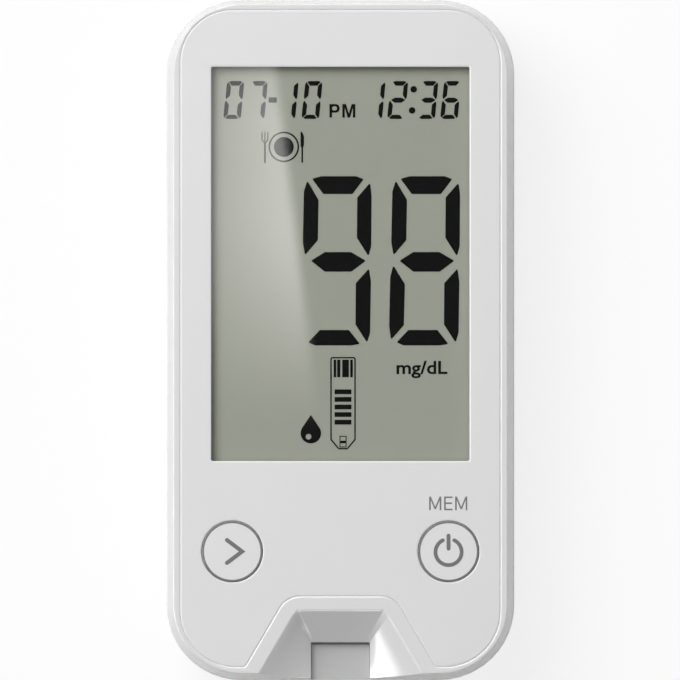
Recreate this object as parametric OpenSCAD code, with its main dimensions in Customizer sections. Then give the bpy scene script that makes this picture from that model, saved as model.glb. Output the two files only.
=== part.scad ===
// Blood glucose meter: a two-part moulded case that holds a segment display, two round keys,
// a test strip port at one end and two AAA cells behind a sliding door.
// The meter lies on its back: +Z points out of the display, +Y away from the strip port,
// and the origin is the middle of the back face. All sizes are in millimetres.

/* [Case] */
// Length of the case, end to end
case_length = 97; // [95:0.5:118]
// Width of the case
case_width = 49.6; // [49:0.2:60]
// Corner radius of the case outline
corner_r = 10.7; // [9:0.1:12]
// Wall thickness of both covers
wall = 1.5; // [1.2:0.1:1.8]
// How far the rounded back edge reaches in from the side
back_round = 5; // [4:0.1:5.5]
// How high the rounded back edge rises
back_rise = 8; // [6:0.1:9]
// Lean of the front cover's long sides and strip end
side_lean = 0.95; // [0.6:0.05:1.3]
// Lean of the front cover at the far end
top_lean = 0.6; // [0.4:0.05:1]
// Edge rounding round the front rim
rim_round = 0.3; // [0.2:0.05:0.4]
// Height of the locating lip inside the parting line
lip_height = 1.2; // [0.8:0.1:1.4]
// Thickness of the locating lip
lip_t = 0.6; // [0.5:0.05:0.8]
// Width and depth of the shadow groove at the parting line
parting_groove = 0.3; // [0.2:0.05:0.4]

/* [Front panel] */
// Thickness of the front panel
panel_t = 0.7; // [0.5:0.05:1]
// Rim of the case left of and right of the panel
panel_side_rim = 2.1; // [1.8:0.05:2.6]
// Rim of the case at the far end of the panel
panel_top_rim = 1.6; // [1.4:0.05:2.4]
// Rim of the case at the strip end of the panel
panel_low_rim = 2.05; // [1.8:0.05:2.6]
// Corner radius of the panel at the far end
panel_top_r = 7.4; // [6:0.1:9]
// Corner radius of the panel at the strip end
panel_low_r = 7.9; // [6:0.1:9]
// Gap between the panel and the pocket it is glued in
seam = 0.1; // [0.05:0.01:0.15]

/* [Display] */
// Width of the display window
window_w = 36.8; // [30:0.1:37.4]
// Length of the display window
window_l = 56.15; // [46:0.05:57]
// Distance from the far end of the case to the window
window_from_top = 9.6; // [9.4:0.1:12]
// How far the lens reaches under the panel on each side
lens_margin = 1; // [0.7:0.1:1.2]
// Thickness of the lens
lens_t = 0.9; // [0.7:0.05:1.2]
// Thickness of the ledge that carries the lens
ledge_t = 0.6; // [0.5:0.05:0.8]
// Thickness of the foam gasket under the ledge
gasket_t = 0.3; // [0.2:0.05:0.5]
// Thickness of one glass plate of the display cell
glass_t = 0.7; // [0.5:0.05:1.1]
// Thickness of the reflector behind the display cell
reflector_t = 0.1; // [0.1:0.05:0.3]
// How far the glass reaches past the window on each side
glass_margin = 1.4; // [1.2:0.1:1.6]
// Width of the contact ledge at the strip end of the front glass
contact_ledge = 2.8; // [2.2:0.1:3.5]

/* [Keys] */
// Radius of a key
key_r = 4.3; // [3.6:0.1:5.2]
// Distance between the two keys
key_spacing = 30.8; // [26:0.1:31]
// Distance from the strip end of the case to the keys
key_from_end = 18.4; // [17.5:0.1:20]
// Radial gap between a key and its bore
key_gap = 0.1; // [0.08:0.01:0.15]
// Travel of a key
key_travel = 0.35; // [0.2:0.05:0.4]
// Width of the flange that holds a key in
key_flange = 0.8; // [0.5:0.1:1]
// Thickness of that flange
key_flange_t = 0.8; // [0.5:0.1:0.8]
// Width of the tab that stops a key from turning
key_tab = 1.6; // [1:0.1:2]
// Radius of the snap dome
dome_r = 3.6; // [3:0.1:4]

/* [Strip port] */
// Width of the strip channel
strip_w = 8.4; // [6.5:0.1:10]
// Height of the strip slot
slot_h = 1.2; // [0.9:0.05:1.4]
// Distance from the strip end of the case to the slot
slot_from_end = 5.4; // [4.5:0.1:6]
// Distance from the strip end to the scoop's edge on the front
scoop_from_end = 9.9; // [9:0.1:10.5]
// Width of the scoop at that edge
scoop_w = 12.7; // [11:0.1:14]
// Angle at which the scoop's sides spread
scoop_spread = 30.4; // [20:0.1:34]
// Rim of the case beside the scoop
scoop_side_rim = 2.2; // [1.8:0.1:2.6]
// Rim of the case above the scoop
scoop_top_rim = 2.05; // [1.8:0.05:2.6]
// Corner radius of the scoop on the front
scoop_r = 0.8; // [0.5:0.1:2.2]
// Corner radius of the scoop at the slot
scoop_low_r = 0.7; // [0.4:0.1:1]
// Corner radius of the panel round the scoop
notch_r = 3.5; // [2.5:0.1:4.5]
// Thickness of the strip guide
guide_t = 1.2; // [1:0.1:1.6]
// Depth of the strip slot under the circuit board
strip_drop = 1.5; // [1.4:0.1:2]
// Number of contact springs that read the strip
contact_count = 5; // [3:1:6]

/* [Batteries] */
// Diameter of an AAA cell
battery_d = 10.5; // [10.3:0.1:12.6]
// Length of an AAA cell with its nub
battery_l = 44.5; // [43:0.1:45.5]
// Room round each cell
battery_gap = 0.25; // [0.2:0.05:0.4]
// Room at the contacts, for a cell's spring and plate
contact_room = 3.1; // [2.8:0.1:3.6]
// Wall thickness of the battery bay
bay_wall = 1; // [0.8:0.1:1.2]
// Distance from the far end of the case to the bay's end wall
bay_from_top = 5; // [4.8:0.1:6]

/* [Battery door] */
// Thickness of the door
door_t = 1.3; // [1.1:0.1:1.6]
// How far the door sits in from the back face
door_recess = 0.1; // [0.05:0.05:0.2]
// Gap round the door
door_gap = 0.1; // [0.08:0.01:0.2]
// How much wider the door is than the bay on each side
door_margin = 1.9; // [1.5:0.1:2.2]
// How far the door's tongues reach under the case
tongue = 0.9; // [0.6:0.1:1.2]
// Thickness of the tongues
tongue_t = 0.5; // [0.4:0.05:0.6]
// Height to which the door wraps up the far end
wrap_height = 9; // [8:0.1:10]
// Number of grip ribs on the door
grip_count = 6; // [3:1:8]

/* [Circuit board] */
// Thickness of the circuit board
board_t = 1; // [0.8:0.1:1.6]
// Gap between the battery bay and the board
board_gap = 0.3; // [0.2:0.1:1]
// Gap between the board's edge and the case
board_edge = 0.6; // [0.4:0.1:1]

/* [Fasteners] */
// Shank radius of the case screws
screw_r = 1; // [0.8:0.05:1.2]
// Head radius of the case screws
head_r = 1.9; // [1.7:0.05:2.2]
// Head height of the case screws
head_h = 1.4; // [1:0.1:1.6]
// Shank length of the case screws
screw_l = 5.6; // [4.5:0.1:6]
// Shank radius of the board screws
board_screw_r = 0.8; // [0.7:0.05:1]

/* [Hidden] */

$fn = 64;
arc_n = 12;      // steps in a quarter turn of the case outline
back_n = 9;      // steps up the rounded back edge
rim_n = 4;       // steps round the front rim
scoop_n = 8;     // steps up the scoop
fillet_n = 6;    // steps in a small fillet
past = 1;        // how far a cutter runs past a face
fit = 0.1;       // gap between parts that drop into each other
half_l = case_length / 2;
half_w = case_width / 2;

// Heights, from the back face up
bay_floor_z = door_recess + door_t;
battery_z = bay_floor_z + battery_gap + battery_d / 2;
bay_roof_z = battery_z + battery_d / 2 + battery_gap;
bay_top_z = bay_roof_z + 0.8 * bay_wall;
board_z = bay_top_z + board_gap;
board_top_z = board_z + board_t;
reflector_top_z = board_top_z + reflector_t;
rear_glass_top_z = reflector_top_z + glass_t;
lcd_top_z = rear_glass_top_z + glass_t;
ceiling_z = lcd_top_z + gasket_t;
lens_z = ceiling_z + ledge_t;
pocket_z = lens_z + lens_t;
case_height = pocket_z + panel_t;
parting_z = board_z - strip_drop;
slot_top_z = parting_z + slot_h;
rim_z = case_height - rim_round;

// Places along and across the case
window_y1 = half_l - window_from_top;
window_y0 = window_y1 - window_l;
key_x = key_spacing / 2;
key_y = key_from_end - half_l;
dome_h = key_travel + 0.15;
flange_r = key_r + key_flange;
flange_z = ceiling_z - fit - key_flange_t;
collar_z = flange_z - key_travel - fit;
slot_y = slot_from_end - half_l;
scoop_y = scoop_from_end - half_l;
scoop_slope = tan(scoop_spread);
panel_x = half_w - panel_side_rim;
panel_y1 = half_l - panel_top_rim;
panel_y0 = panel_low_rim - half_l;
notch_y = scoop_y + scoop_top_rim;

glass_x = window_w / 2 + glass_margin;
glass_y1 = window_y1 + 0.5 * glass_margin;
rear_glass_y0 = window_y0 - glass_margin;
glass_y0 = rear_glass_y0 - contact_ledge;
holder_t = 0.8;

bay_x = battery_d + 1.5 * battery_gap;
bay_y1 = half_l - bay_from_top - bay_wall;
bay_y0 = bay_y1 - battery_l - contact_room - battery_gap;
cell_x = battery_d / 2 + battery_gap / 2;
door_x = bay_x + door_margin;
door_y0 = bay_y0 - door_margin;
end_y = half_l - back_round;
tongue_x = door_x + tongue;
tongue_z = bay_floor_z - tongue_t;
frame_wall = 1.6;
frame_top_z = bay_floor_z + fit + 0.8;
plate_t = 0.4;
plate_w = 0.84 * battery_d;
plate_h = 0.8 * battery_d;
tab_w = 2;
wire_r = 0.3;
spring_turns = 3;
spring_l = contact_room + battery_gap - 2 * plate_t - 0.04;
clip_t = 0.6;    // ribs that hold a contact plate against the end wall
clip_hold = 0.3;

boss_r = screw_r + 1.4;
tube_r = head_r + 1.2;
seat_z = parting_z - 2.5;
head_gap = 0.15;
screw_top = [tongue_x + door_gap + frame_wall + head_r + head_gap, half_l - 5];
screw_low = [half_w - 5.8, 11 - half_l];
board_x = half_w - wall - board_edge - lip_t;
board_y1 = screw_top[1] - boss_r - board_edge;
board_y0 = slot_y + 3.6;
rib_x = bay_x + 5.5;
rib_t = 0.9;
board_shoulder_y = screw_low[1] + boss_r + board_edge;
board_tongue_x = screw_low[0] - boss_r - board_edge;
connector_y0 = slot_y + 2.6;
connector_y1 = connector_y0 + 11;
board_screw = [7.6, min(connector_y1 + 3.85, glass_y0 - 4.2)];
connector_x = strip_w / 2 + 2.2;
connector_z = parting_z - 1.2;
contact_t = 0.2;
contact_w = 0.6;
contact_pitch = 1.3;
guide_y = slot_y + 1.8;
chip_y = (connector_y1 + bay_y0) / 2;

// ---------------------------------------------------------------- outlines and lofts

// One rounded corner at c between its neighbours p and q, as n + 1 points
function corner_arc(p, c, q, r, n) =
    let (
        u = (p - c) / norm(p - c),
        v = (q - c) / norm(q - c),
        half = acos(u * v) / 2,
        centre = c + (u + v) / norm(u + v) * r / sin(half),
        start = c + u * r / tan(half) - centre,
        end = c + v * r / tan(half) - centre,
        a0 = atan2(start[1], start[0]),
        turn = atan2(end[1], end[0]) - a0,
        sweep = turn > 180 ? turn - 360 : turn < -180 ? turn + 360 : turn
    )
    [for (i = [0:n]) centre + r * [cos(a0 + sweep * i / n), sin(a0 + sweep * i / n)]];

// A polygon from corners [x, y, radius], each an arc of n steps
function rounded(corners, n = fillet_n) =
    let (k = len(corners))
    [for (i = [0:k - 1])
        let (p = corners[(i + k - 1) % k], c = corners[i], q = corners[(i + 1) % k])
        each corner_arc([p[0], p[1]], [c[0], c[1]], [q[0], q[1]], c[2], n)];

// A rectangle with one radius at its low corners and one at its high ones
function rounded_box(x0, x1, y0, y1, r_low, r_high, n = fillet_n) =
    rounded([[x0, y0, r_low], [x1, y0, r_low], [x1, y1, r_high], [x0, y1, r_high]], n);

// The case outline moved in by side, and by top at the far end
function case_outline(side, top) =
    rounded_box(side - half_w, half_w - side, side - half_l, half_l - top,
        corner_r - side, corner_r - (side + top) / 2, arc_n);

// Strip of thickness t along a path of points, as a polygon
function ribbon(path, t) =
    let (
        n = len(path) - 1,
        side = [for (i = [0:n])
            let (d = path[min(i + 1, n)] - path[max(i - 1, 0)])
            [-d[1], d[0]] / norm(d) * t / 2]
    )
    concat([for (i = [0:n]) path[i] + side[i]], [for (i = [n:-1:0]) path[i] - side[i]]);

// Closed solid through rings of points, each ring [height, points], low ring first
module loft(rings) {
    n = len(rings[0][1]);
    m = len(rings);
    points = [for (r = rings, p = r[1]) [p[0], p[1], r[0]]];
    sides = [for (i = [0:m - 2], j = [0:n - 1])
        let (a = i * n + j, b = i * n + (j + 1) % n)
        each [[a, a + n, b + n], [a, b + n, b]]];
    caps = [[for (j = [0:n - 1]) j], [for (j = [0:n - 1]) m * n - 1 - j]];
    polyhedron(points, concat(sides, caps));
}

// Box from two corners
module block(low, high) {
    translate(low) cube(high - low);
}

// Copies a child to the left and to the right
module both_sides() {
    children();
    mirror([1, 0, 0]) children();
}

// ---------------------------------------------------------------- case

// Rounded back half: a quarter ellipse from the back face up to the side wall
function back_rings(skin) =
    concat(
        [for (i = [0:back_n])
            let (t = 90 * i / back_n, in = back_round - (back_round - skin) * sin(t))
            [back_rise - (back_rise - skin) * cos(t), case_outline(in, in)]],
        [[parting_z + (skin > 0 ? past : 0), case_outline(skin, skin)]]
    );

// Front half: walls that lean in, then a small round onto the front rim
function front_rings() =
    concat(
        [[parting_z, case_outline(0, 0)]],
        [for (i = [0:rim_n])
            let (t = 90 * i / rim_n, in = rim_round * (1 - cos(t)))
            [rim_z + rim_round * sin(t), case_outline(side_lean + in, top_lean + in)]]
    );

// Room inside the front cover, up to the ceiling that carries the display
function front_room_rings() =
    let (rise = (ceiling_z - parting_z) / (rim_z - parting_z))
    [
        [parting_z - past, case_outline(wall, wall)],
        [ceiling_z, case_outline(wall + side_lean * rise, wall + top_lean * rise)]
    ];

// Half width of the scoop's front edge at y, moved out by grow
function scoop_half(y, grow) =
    scoop_w / 2 + grow / cos(scoop_spread) + scoop_slope * (scoop_y - y);

// Outline of the scoop on the front face, moved out by grow
function scoop_outline(grow) =
    let (y1 = scoop_y + grow, y0 = -half_l - past)
    rounded([
        [-scoop_half(y0, grow), y0, scoop_low_r], [scoop_half(y0, grow), y0, scoop_low_r],
        [scoop_half(y1, grow), y1, scoop_r + grow], [-scoop_half(y1, grow), y1, scoop_r + grow]
    ]);

// Outline of the strip channel at the slot, moved out by grow
function channel_outline(grow) =
    rounded_box(-strip_w / 2 - grow, strip_w / 2 + grow, -half_l - past, slot_y + grow,
        scoop_low_r, scoop_low_r + grow);

// Finger scoop that leads to the strip slot: a loft from the front face to the channel
module scoop(grow, top_z) {
    a = channel_outline(grow);
    b = scoop_outline(grow);
    rise = (top_z - slot_top_z) / (case_height - slot_top_z);
    loft(concat(
        [[parting_z - (grow > 0 ? 0 : past), a]],
        [for (i = [0:scoop_n])
            let (s = rise * i / scoop_n)
            [slot_top_z + (case_height - slot_top_z) * s, a + (b - a) * s]]
    ));
}

// Places the four case screws
module at_case_screws() {
    both_sides() {
        translate(screw_top) children();
        translate(screw_low) children();
    }
}

// Panel outline with its notch round the scoop, grown by g
function panel_outline(g) =
    let (
        y0 = panel_y0 - g,
        yn = notch_y - g,
        rim = scoop_side_rim - g,
        low = scoop_half(y0, rim),
        high = scoop_half(yn, rim),
        x = panel_x + g
    )
    rounded([
        [-x, y0, panel_low_r + g], [-low, y0, 0.5 + g], [-high, yn, notch_r - g],
        [high, yn, notch_r - g], [low, y0, 0.5 + g], [x, y0, panel_low_r + g],
        [x, panel_y1 + g, panel_top_r + g], [-x, panel_y1 + g, panel_top_r + g]
    ]);

// Window outline grown by g
module window_shape(g) {
    r = 0.4 + max(g, 0) / 2;
    polygon(rounded_box(-window_w / 2 - g, window_w / 2 + g, window_y0 - g, window_y1 + g, r, r));
}

module front_cover() color("gainsboro") difference() {
    union() {
        difference() {
            loft(front_rings());
            difference() {
                loft(front_room_rings());
                scoop(wall, ceiling_z + past);
            }
        }
        // Screw bosses, the two bosses that carry the board, and collars round the keys' flanges
        at_case_screws() translate([0, 0, parting_z + fit])
            cylinder(r = boss_r, h = ceiling_z - parting_z);
        both_sides() translate([board_screw[0], board_screw[1], board_top_z])
            cylinder(r = board_screw_r + 1.2, h = ceiling_z - board_top_z + fit);
        both_sides() translate([key_x, key_y, collar_z])
            cylinder(r = flange_r + 1, h = ceiling_z - collar_z + fit);
    }
    // Pocket for the panel, pocket for the lens and opening over the display
    translate([0, 0, pocket_z]) linear_extrude(past + panel_t) polygon(panel_outline(seam));
    translate([0, 0, lens_z]) linear_extrude(past + lens_t) window_shape(lens_margin + fit);
    translate([0, 0, ceiling_z - past]) linear_extrude(past + ledge_t + fit) window_shape(0.3);
    // Bores that guide the keys, room for their flanges and slots for their tabs
    both_sides() translate([key_x, key_y, 0]) {
        translate([0, 0, ceiling_z - past])
            cylinder(r = key_r + key_gap, h = 2 * past + pocket_z - ceiling_z);
        translate([0, 0, collar_z - past])
            cylinder(r = flange_r + 0.2, h = past + ceiling_z - collar_z);
        block([-key_tab / 2 - fit, 0, collar_z - past], [key_tab / 2 + fit, flange_r + 2, ceiling_z]);
    }
    // Finger scoop and strip slot
    scoop(0, case_height + past);
    block([fit - strip_w / 2, slot_y - 2 * past, parting_z - past],
        [strip_w / 2 - fit, slot_y + 2 * wall + past, slot_top_z]);
    // Step that takes the rear cover's lip
    translate([0, 0, parting_z - past]) linear_extrude(past + lip_height + fit) difference() {
        polygon(case_outline(wall - lip_t - fit, wall - lip_t - fit));
        polygon(case_outline(wall + 2 * fit, wall + 2 * fit));
        polygon(scoop_outline(wall + 2 * fit));
    }
    // Shadow groove along the parting line
    translate([0, 0, parting_z - past]) linear_extrude(past + parting_groove) difference() {
        polygon(case_outline(-past, -past));
        polygon(case_outline(parting_groove, parting_groove));
    }
    // Screw holes
    at_case_screws() translate([0, 0, parting_z]) cylinder(r = screw_r, h = screw_l - 1.4);
    both_sides() translate([board_screw[0], board_screw[1], board_top_z - past])
        cylinder(r = board_screw_r, h = past + ceiling_z - board_top_z);
}

// Room for the door and for its way off the end of the case
module door_way() {
    x = door_x + door_gap;
    xt = tongue_x + door_gap;
    block([-x, door_y0 - door_gap, -past], [x, half_l + past, tongue_z]);
    block([-xt, door_y0 - tongue - door_gap, tongue_z - fit], [xt, half_l + past, bay_floor_z + fit]);
    block([-xt, end_y - door_gap, -past], [xt, half_l + past, bay_floor_z + fit]);
    block([-xt, half_l - bay_from_top, -past], [xt, half_l + past, wrap_height + door_gap]);
}

// Frame round the door: a sill along its edges and a hood over the end that wraps up
module door_frame() {
    x = tongue_x + door_gap + frame_wall;
    block([-x, door_y0 - tongue - frame_wall, 0], [x, half_l, frame_top_z]);
    block([-x, half_l - bay_from_top - fit, 0], [x, half_l, wrap_height + door_gap + bay_wall]);
}

// Ribs along the floor and posts on them that hold the board up
module board_ribs() {
    y0 = board_shoulder_y + 2;
    y1 = door_y0 - tongue - frame_wall + fit;
    both_sides() {
        block([rib_x, y0, wall - fit], [rib_x + rib_t, y1, board_z - 3]);
        for (y = [y0, (y0 + y1) / 2])
            translate([rib_x + rib_t / 2, y, wall - fit]) cylinder(r = 1.3, h = board_z - wall + fit);
    }
}

// Shelf under the strip guide, on three ribs that stand on the back
module guide_seat() {
    x = connector_x + bay_wall;
    z = parting_z - guide_t;
    block([-x, -half_l, z - bay_wall], [x, guide_y, z]);
    for (x = [-connector_x, -rib_t / 2, connector_x - rib_t])
        block([x, -half_l, 0], [x + rib_t, guide_y, z]);
}

// Walls and roof of the battery bay, with two pads on the roof under the board
module battery_bay() {
    block([-bay_x - bay_wall, bay_y0 - bay_wall, bay_floor_z + fit],
        [bay_x + bay_wall, half_l - bay_from_top, bay_top_z]);
    both_sides() translate([bay_x - 1, bay_y1 - 6, bay_top_z - fit]) cylinder(r = 1.5, h = board_gap + fit);
}

// Rib that holds the contact plates against the bay's ends, from x0 to x1 across the bay
module plate_clips(x0, x1) {
    block([x0, bay_y0 + plate_t + fit, bay_floor_z], [x1, bay_y0 + plate_t + fit + clip_t, bay_top_z]);
    block([x0, bay_y1 - plate_t - fit - clip_t, bay_floor_z], [x1, bay_y1 - plate_t - fit, bay_top_z]);
}

// Inside of the bay: room for two cells and a low rib between them, clips for the contact
// plates, and slots in the roof for the plates' tabs
module bay_room() {
    plate_x0 = cell_x - plate_w / 2 + clip_hold;
    plate_x1 = cell_x + plate_w / 2 - clip_hold;
    difference() {
        block([-bay_x, bay_y0, 0], [bay_x, bay_y1, bay_roof_z]);
        block([-battery_gap / 2, bay_y0 + 8, bay_roof_z - 2], [battery_gap / 2, bay_y1 - 8, bay_top_z]);
        plate_clips(-plate_x0, plate_x0);
        both_sides() plate_clips(plate_x1, bay_x + fit);
    }
    both_sides() {
        block([cell_x - tab_w / 2 - fit, bay_y0, bay_roof_z - past],
            [cell_x + tab_w / 2 + fit, bay_y0 + plate_t + fit, bay_top_z + past]);
        block([cell_x - tab_w / 2 - fit, bay_y1 - plate_t - fit, bay_roof_z - past],
            [cell_x + tab_w / 2 + fit, bay_y1, bay_top_z + past]);
    }
}

// Notch in the end wall that the strip guide drops into
module guide_notch() {
    z = parting_z - guide_t;
    block([-strip_w / 2 - fit, -half_l - past, z], [strip_w / 2 + fit, guide_y + fit, parting_z + past]);
    block([-connector_x - fit, wall - half_l, z], [connector_x + fit, guide_y + fit, parting_z + past]);
}

module rear_cover() color("gainsboro") difference() {
    union() {
        difference() {
            loft(back_rings(0));
            loft(back_rings(wall));
        }
        // Lip that locates the front cover, left out across the strip end
        translate([0, 0, parting_z - past]) linear_extrude(past + lip_height) difference() {
            polygon(case_outline(wall - lip_t, wall - lip_t));
            polygon(case_outline(wall, wall));
            polygon(scoop_outline(2 * wall));
        }
        // What stands on the back, trimmed to the rounded outside
        intersection() {
            loft(back_rings(0));
            union() {
                door_frame();
                guide_seat();
                at_case_screws() cylinder(r = tube_r, h = parting_z);
            }
        }
        board_ribs();
        battery_bay();
    }
    door_way();
    bay_room();
    guide_notch();
    // Deep counterbores and shank holes for the case screws
    at_case_screws() {
        translate([0, 0, -past]) cylinder(r = head_r + head_gap, h = past + seat_z);
        cylinder(r = screw_r + 0.1, h = parting_z + past);
    }
}

module front_panel() color("whitesmoke") difference() {
    translate([0, 0, pocket_z]) linear_extrude(panel_t) polygon(panel_outline(0));
    translate([0, 0, pocket_z - past]) linear_extrude(panel_t + 2 * past) window_shape(0);
    both_sides() translate([key_x, key_y, pocket_z - past])
        cylinder(r = key_r + key_gap, h = panel_t + 2 * past);
}

// ---------------------------------------------------------------- display

module display_window() color([0.8, 0.9, 0.9, 0.35])
    translate([0, 0, lens_z]) linear_extrude(lens_t) window_shape(lens_margin);

module display_gasket() color("dimgray")
    translate([0, 0, lcd_top_z]) linear_extrude(gasket_t) difference() {
        window_shape(1.2);
        window_shape(0.35);
    }

module lcd_front_glass() color([0.72, 0.78, 0.72, 0.5])
    block([-glass_x, glass_y0, rear_glass_top_z], [glass_x, glass_y1, lcd_top_z]);

module lcd_rear_glass() color([0.72, 0.78, 0.72, 0.5])
    block([-glass_x, rear_glass_y0, reflector_top_z], [glass_x, glass_y1, rear_glass_top_z]);

module lcd_reflector() color("darkseagreen")
    block([-glass_x, rear_glass_y0, board_top_z], [glass_x, glass_y1, reflector_top_z]);

// Open frame that clips the display cell onto the board
module lcd_holder() color("white") {
    x = glass_x + fit;
    difference() {
        block([-x - holder_t, glass_y0 - fit - holder_t, board_top_z],
            [x + holder_t, glass_y1 + fit + holder_t, lcd_top_z - fit]);
        block([-x, glass_y0 - fit, board_top_z - past], [x, glass_y1 + fit, lcd_top_z + past]);
    }
    // Fence between the zebra strip and the rear glass
    both_sides() block([x - 2, rear_glass_y0 - 0.5, board_top_z],
        [x + fit, rear_glass_y0 - fit, rear_glass_top_z - fit]);
}

module zebra_strip() color("dimgray") block([2.2 - glass_x, glass_y0 + 0.4, board_top_z],
    [glass_x - 2.2, rear_glass_y0 - 0.6, rear_glass_top_z]);

// ---------------------------------------------------------------- keys

// One key: a cap in the panel, a flange with a tab under the ceiling and a stem down to the dome
module key() color("whitesmoke") translate([0, key_y, 0]) {
    stem_z = board_top_z + dome_h + 0.02;
    stem_r = 1.4;
    core_r = 2.4;
    skirt_r = key_r - 0.9;
    hollow_z = pocket_z - 0.2;
    edge = 0.12;
    rotate_extrude() polygon([
        [0, stem_z], [stem_r, stem_z], [stem_r, flange_z], [core_r, flange_z],
        [core_r, hollow_z], [skirt_r, hollow_z], [skirt_r, flange_z], [flange_r, flange_z],
        [flange_r, ceiling_z - fit], [key_r, ceiling_z - fit],
        [key_r, case_height - edge], [key_r - edge, case_height], [0, case_height]
    ]);
    block([-key_tab / 2, key_r - fit, flange_z], [key_tab / 2, flange_r + 0.8, ceiling_z - fit]);
}

module key_next() translate([-key_x, 0, 0]) key();

module key_power() translate([key_x, 0, 0]) key();

// Snap dome: a thin spherical cap on the board
module dome() color("silver") translate([0, key_y, board_top_z]) rotate_extrude() {
    skin = 0.1;
    steps = 8;
    outer_r = (dome_r * dome_r + dome_h * dome_h) / (2 * dome_h);
    half_angle = asin(dome_r / outer_r);
    inner_angle = acos((outer_r - dome_h) / (outer_r - skin));
    polygon(concat(
        [for (i = [0:steps]) let (a = half_angle * i / steps)
            [outer_r * sin(a), outer_r * cos(a) - outer_r + dome_h]],
        [for (i = [steps:-1:0]) let (a = inner_angle * i / steps)
            [(outer_r - skin) * sin(a), (outer_r - skin) * cos(a) - outer_r + dome_h]]
    ));
}

module dome_next() translate([-key_x, 0, 0]) dome();

module dome_power() translate([key_x, 0, 0]) dome();

// ---------------------------------------------------------------- circuit board

module main_board() color("seagreen") difference() {
    translate([0, 0, board_z]) linear_extrude(board_t) polygon(rounded([
        [-board_tongue_x, board_y0, 1], [board_tongue_x, board_y0, 1],
        [board_tongue_x, board_shoulder_y, 0.8], [board_x, board_shoulder_y, 1],
        [board_x, board_y1, 2], [-board_x, board_y1, 2],
        [-board_x, board_shoulder_y, 1], [-board_tongue_x, board_shoulder_y, 0.8]
    ]));
    both_sides() translate([board_screw[0], board_screw[1], board_z - past])
        cylinder(r = board_screw_r + 0.1, h = board_t + 2 * past);
}

// Flat chip with leads along two sides, under the board
module chip(size, height, leads) {
    pitch = (size - 1) / (leads - 1);
    translate([-size / 2, -size / 2, -height]) cube([size, size, height - 0.1]);
    both_sides() for (i = [0:leads - 1])
        translate([size / 2, 0.5 - size / 2 + i * pitch - 0.15, -height / 2]) {
            cube([0.6, 0.3, 0.2]);
            translate([0.5, 0, 0]) cube([0.2, 0.3, height / 2]);
            translate([0.5, 0, height / 2 - 0.15]) cube([0.7, 0.3, 0.15]);
        }
}

module processor_chip() color("dimgray") translate([0, chip_y, board_z]) chip(7, 1.2, 12);

module memory_chip() color("dimgray") translate([-10.4, chip_y, board_z]) chip(4, 1.1, 4);

// Crystal can, capacitors and resistors under the board
module board_components() color("tan") {
    y = bay_y0 - 5;
    translate([6, y, board_z - 1.1]) cube([4.6, 2, 1.1]);
    for (i = [0:4]) translate([board_x - 3, y - 2.2 * i, board_z - 0.6]) cube([1.6, 0.8, 0.6]);
    for (i = [0:2])
        translate([-connector_x - 2.4 - 2 * i, connector_y0 + 3, board_z - 0.5]) cube([0.8, 1.6, 0.5]);
}

// Round sounder with its port facing down
module buzzer() color("goldenrod") translate([10.4, chip_y, board_z]) difference() {
    union() {
        translate([0, 0, -1.8]) cylinder(r = 4.5, h = 1.8);
        translate([0, 0, -2.2]) cylinder(r = 3.4, h = 0.5);
    }
    translate([0, 0, -2.2 - past]) cylinder(r = 0.6, h = past + 0.8);
}

// ---------------------------------------------------------------- strip port

// Places across the slot of the contact springs
function contact_x() = [for (i = [0:contact_count - 1]) (i - (contact_count - 1) / 2) * contact_pitch];

// Socket under the board that the test strip slides into
module strip_connector() color("ivory") difference() {
    half_slot = strip_w / 2 - 0.2;
    slot_z1 = slot_top_z - 0.4;
    block([-connector_x, connector_y0, connector_z], [connector_x, connector_y1, board_z]);
    block([-half_slot, connector_y0 - past, parting_z], [half_slot, connector_y1 - 1.2, slot_z1]);
    // Flared mouth
    translate([0, connector_y0, slot_z1]) rotate([90, 0, 90]) linear_extrude(2 * half_slot, center = true)
        polygon([[-past, past + 0.4], [0, 0.4], [0.8, 0], [0.8, -0.2], [-past, -0.2]]);
    // Channels for the contact springs
    for (x = contact_x())
        block([x - contact_w / 2 - fit, connector_y0 + 2.4, parting_z],
            [x + contact_w / 2 + fit, connector_y1 + past, board_z + past]);
}

// Leaf springs: a tail on the board, an arm and a bowed tip that presses on the strip
module strip_contacts() color("gold") for (x = contact_x())
    translate([x - contact_w / 2, 0, 0]) rotate([90, 0, 90]) linear_extrude(contact_w) polygon(ribbon([
        [connector_y1 + 0.7, board_z - contact_t / 2], [connector_y1 - 1.2, board_z - contact_t / 2],
        [connector_y1 - 1.9, board_z - 0.4], [connector_y0 + 4.3, parting_z + 0.6],
        [connector_y0 + 3.5, parting_z + 0.45], [connector_y0 + 2.8, parting_z + 0.8]
    ], contact_t));

// Floor of the strip channel, with ears that hook behind the rear cover's end wall
module strip_guide() color("silver") {
    z = parting_z - guide_t;
    block([-strip_w / 2, -half_l, z], [strip_w / 2, guide_y, parting_z]);
    block([-connector_x, wall - half_l + fit, z], [connector_x, guide_y, parting_z - 0.02]);
}

// ---------------------------------------------------------------- batteries

// AAA cell along +Y from its flat end at the origin, with crimped shoulders and a nub
module cell() color("slategray") rotate([-90, 0, 0]) rotate_extrude() polygon([
    [0, 0], [0.78 * battery_d / 2, 0], [battery_d / 2 - 0.3, 0.25], [battery_d / 2, 0.6],
    [battery_d / 2, battery_l - 2], [battery_d / 2 - 0.4, battery_l - 1.5],
    [0.62 * battery_d / 2, battery_l - 1.2], [1.9, battery_l - 1.2],
    [1.9, battery_l - 0.15], [1.75, battery_l], [0, battery_l]
]);

module battery_left() translate([-cell_x, bay_y1 - plate_t - battery_l - 0.02, battery_z]) cell();

module battery_right()
    translate([cell_x, bay_y0 + plate_t + battery_l + 0.02, battery_z]) mirror([0, 1, 0]) cell();

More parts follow.
